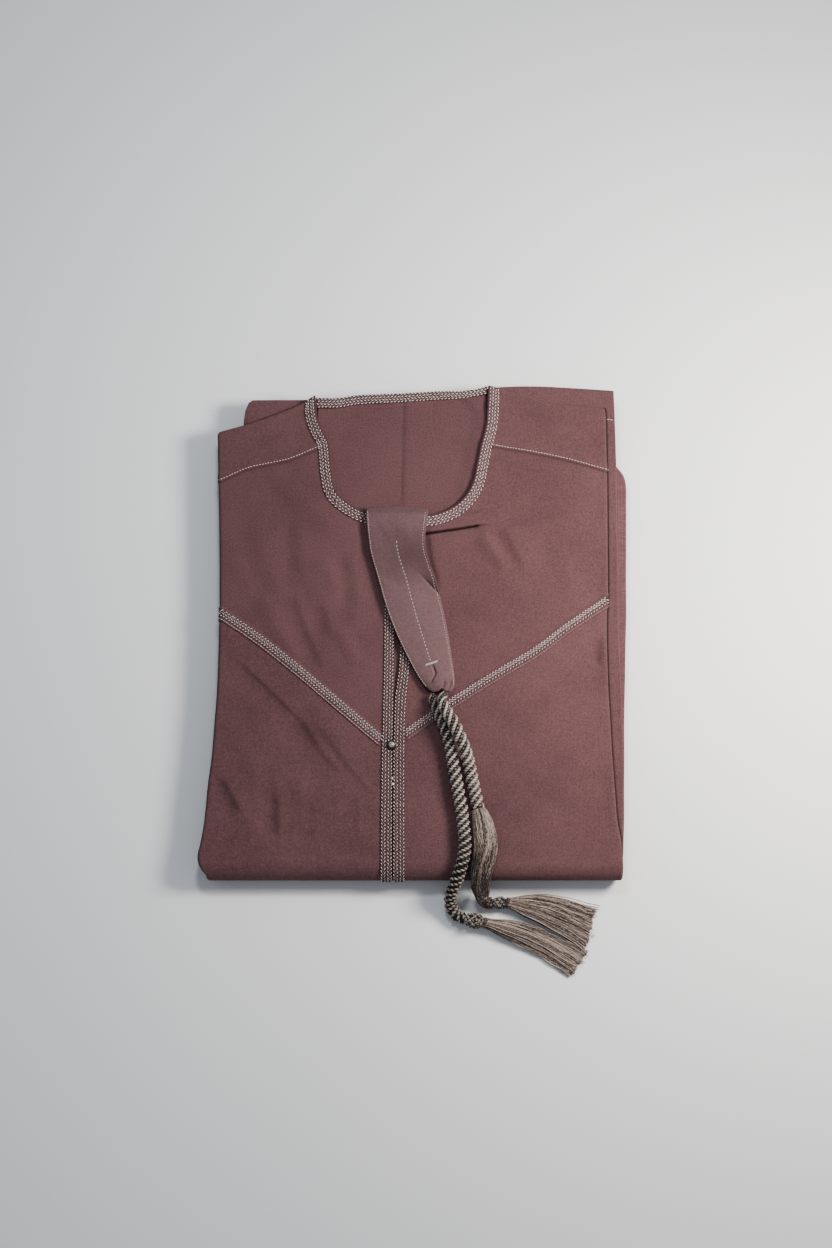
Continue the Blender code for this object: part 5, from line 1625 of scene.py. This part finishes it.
def makeTab():
    rows, _ = routeThrough([row[:2] + (row[4],) + row[2:4] + row[5:] for row in tabRows], tab["step"])
    length = lengthAlong(rows[:, :3])
    rows = rows[::-1]
    u = np.concatenate([[0.0, 0.006, 0.018], np.linspace(0.036, 0.964, tab["across"]), [0.982, 0.994, 1.0]])
    left, right = rows[:, None, :2], rows[:, None, 3:5]
    plan = left + (right - left) * u[None, :, None]
    zLeft, zMid, zRight = rows[:, 2:3], rows[:, 5:6], rows[:, 6:7]
    z = zLeft * (1 - u) * (1 - 2 * u) + 4 * zMid * u * (1 - u) + zRight * u * (2 * u - 1)
    plan[..., 1] += 1.5 * np.sin(math.pi * u)[None] * ease((plan[..., 1] - 60.0) / 40.0)
    plan[..., 1] += 2.2 * bell(u[None] - 0.48, 0.13) * ease((-51.0 - plan[..., 1]) / 7.0)
    x, y = plan[..., 0], plan[..., 1]
    z = z + tabDetail(x, y) * np.where(y < tab["over"], ease((tab["over"] - y) / 8), 0.0)
    middle = np.stack([x, y, z], -1)
    normal = normalsOf(middle)
    width = np.linalg.norm(plan[:, -1] - plan[:, 0], axis=-1)[:, None]
    edge = np.minimum(u, 1 - u)[None] * width
    half = tab["thick"] / 2 * (0.35 + 0.65 * np.sqrt(np.clip(1 - (1 - np.clip(edge / 1.2, 0, 1)) ** 2, 0, 1)))
    groove = 0.22 * bell(edge - tab["edgeRow"] * width, 0.7)
    groove = groove + 0.16 * bell((u[None] - tab["centreRow"]) * width, 0.8)
    outer = middle + normal * (half - groove)[..., None]
    bundle = Bundle()
    bundle.wall(outer, middle - normal * half[..., None], tabShade(x, y), stacked(x + 0.35 * y, y, 21.0))
    made = bundle.make("tab_cloth_strip", "tab", "tab_cloth", ("tab",))
    surface, facing = outer[::-1], normal[::-1]

    def rail(along, across, up):
        along, across, up = np.broadcast_arrays(along, across, up)
        row = np.interp(along, length, np.arange(len(length)))
        column = np.interp(across, u, np.arange(len(u)))
        i, j = np.clip(row.astype(int), 0, len(length) - 2), np.clip(column.astype(int), 0, len(u) - 2)
        s, t = (row - i)[..., None], (column - j)[..., None]
        at, out = (
            (grid[i, j] * (1 - t) + grid[i, j + 1] * t) * (1 - s)
            + (grid[i + 1, j] * (1 - t) + grid[i + 1, j + 1] * t) * s
            for grid in (surface, facing)
        )
        return at + out * up[..., None]

    threads = Bundle()
    end = length[-1]
    for across, before, after, pitch, tone, thick, long in tabSeams:
        stitchRow(threads, rail, before, end - after, across, pitch, tone, thick, tab["width"], long=long)
    for k in range(tab["bars"]):
        away = k - (tab["bars"] - 1) / 2
        along = end - 31.0 - away * 0.42 + np.array([[-0.7, 0.0, 0.7]])
        line = rail(along, tab["centreRow"] + away * 0.036, np.array([[0.1, 0.35, 0.1]]))
        threads.tubes(line, 0.42, 4, 0.95)
    threads.stitching("tab")
    return made


cloths["tab"] = makeTab()


# The snap at the point of the chest seams, and the tacks below it

snap = {"x": -21.0, "y": -102.3, "sides": 40}
tacks = [
    # x,     y,    half length, tone
    (-20.4, -130.4, 0.55, 0.95),
    (-20.0, -135.3, 0.85, 1.5),
]
# The tone column is painted: dark in the grooves and at the foot, painted shade, and pale on the dome and
# palest at its tip, a painted highlight
snapProfile = [
    # radius, height, tone
    (3.6, 0.0, 0.0), (4.0, 0.35, 0.0), (4.0, 0.8, 0.05), (3.75, 1.15, 0.1), (3.35, 1.2, 0.05),
    (3.15, 0.95, 0.0), (3.0, 1.1, 0.0), (2.9, 1.9, 0.35), (2.6, 2.7, 0.75), (2.1, 3.3, 0.9),
    (1.5, 3.65, 0.8), (1.25, 3.6, 0.3), (1.1, 3.45, 0.1), (0.9, 3.55, 0.5), (0.55, 3.85, 0.9),
    (0.2, 3.95, 1.0),
]


def makeSnap():
    base = float(lay(snap["x"], snap["y"], -strip["height"])[2]) + 0.2
    angles = 2 * math.pi * np.arange(snap["sides"]) / snap["sides"]
    rings = [
        stacked(snap["x"] + radius * np.cos(angles), snap["y"] + radius * np.sin(angles), base + up)
        for radius, up, _ in snapProfile
    ]
    bundle = Bundle()
    bundle.loft(rings, np.repeat([row[2] for row in snapProfile], snap["sides"]))
    bundle.make("snap_dome", "metal", "snap", ("bead",))
    tack = Bundle()
    for x, y, long, tone in tacks:
        for k in range(-2, 3):
            shares = np.array([-1.0, -0.4, 0.4, 1.0]) * (1.15 - 0.15 * abs(k))
            up = strip["height"] + 0.45 + np.array([-0.4, 0.3, 0.3, -0.4])
            tack.tubes(lay(x + shares * long, y + k * 0.32, -up)[None], 0.36, 4, tone)
    tack.make("placket_tack", "stitch", "yarn")


makeSnap()
print("tab, snap and tack made")


# Floor, light and finish

lights = {
    "key": {
        "at": (0.56, 0.09, 0.53), "to": (0.06, 0.0, 0.02), "size": 0.27, "power": 7.0,
        "colour": (1.0, 0.94, 0.88),
    },
    "top": {
        "at": (-0.06, 0.34, 0.86), "to": (0.0, 0.0, 0.0), "size": 0.16, "power": 2.2,
        "colour": (0.90, 0.96, 1.0),
    },
}
studio = {
    "floorHalf": 3.0, "floorZ": -0.0004, "floorDark": (0.88, 0.88, 0.885), "floorLight": (0.92, 0.92, 0.92),
    "floorRough": 0.9, "world": (0.88, 0.95, 1.04, 1.0), "worldStrength": 0.31,
}


def makeStudio():
    scene, half, low = bpy.context.scene, studio["floorHalf"], studio["floorZ"]
    mesh = bpy.data.meshes.new("floor")
    corners = [(-half, -half, low), (half, -half, low), (half, half, low), (-half, half, low)]
    mesh.from_pydata(corners, [], [(0, 1, 2, 3)])
    shader = Shader("pale_floor")
    colour = shader.mix(shader.grain(3.0), studio["floorDark"], studio["floorLight"])
    surface = {"Base Color": colour, "Roughness": studio["floorRough"], "Specular IOR Level": 0.1}
    mesh.materials.append(shader.finish(surface))
    floor = bpy.data.objects.new("floor", mesh)
    scene.collection.objects.link(floor)
    for name, look in lights.items():
        data = bpy.data.lights.new(name, "AREA")
        data.shape = "DISK"
        data.size = look["size"]
        data.energy = look["power"]
        data.color = look["colour"]
        lamp = bpy.data.objects.new(name, data)
        lamp.location = look["at"]
        aim = Vector(look["to"]) - Vector(look["at"])
        lamp.rotation_euler = aim.to_track_quat("-Z", "Y").to_euler()
        lamp.visible_camera = False
        scene.collection.objects.link(lamp)
    scene.world = bpy.data.worlds.new("studio")
    scene.world.use_nodes = True
    sky = scene.world.node_tree.nodes["Background"].inputs
    sky["Color"].default_value = studio["world"]
    sky["Strength"].default_value = studio["worldStrength"]
    scene.view_settings.view_transform = "AgX"
    scene.view_settings.look = "AgX - Medium High Contrast"


makeStudio()
print("studio made")
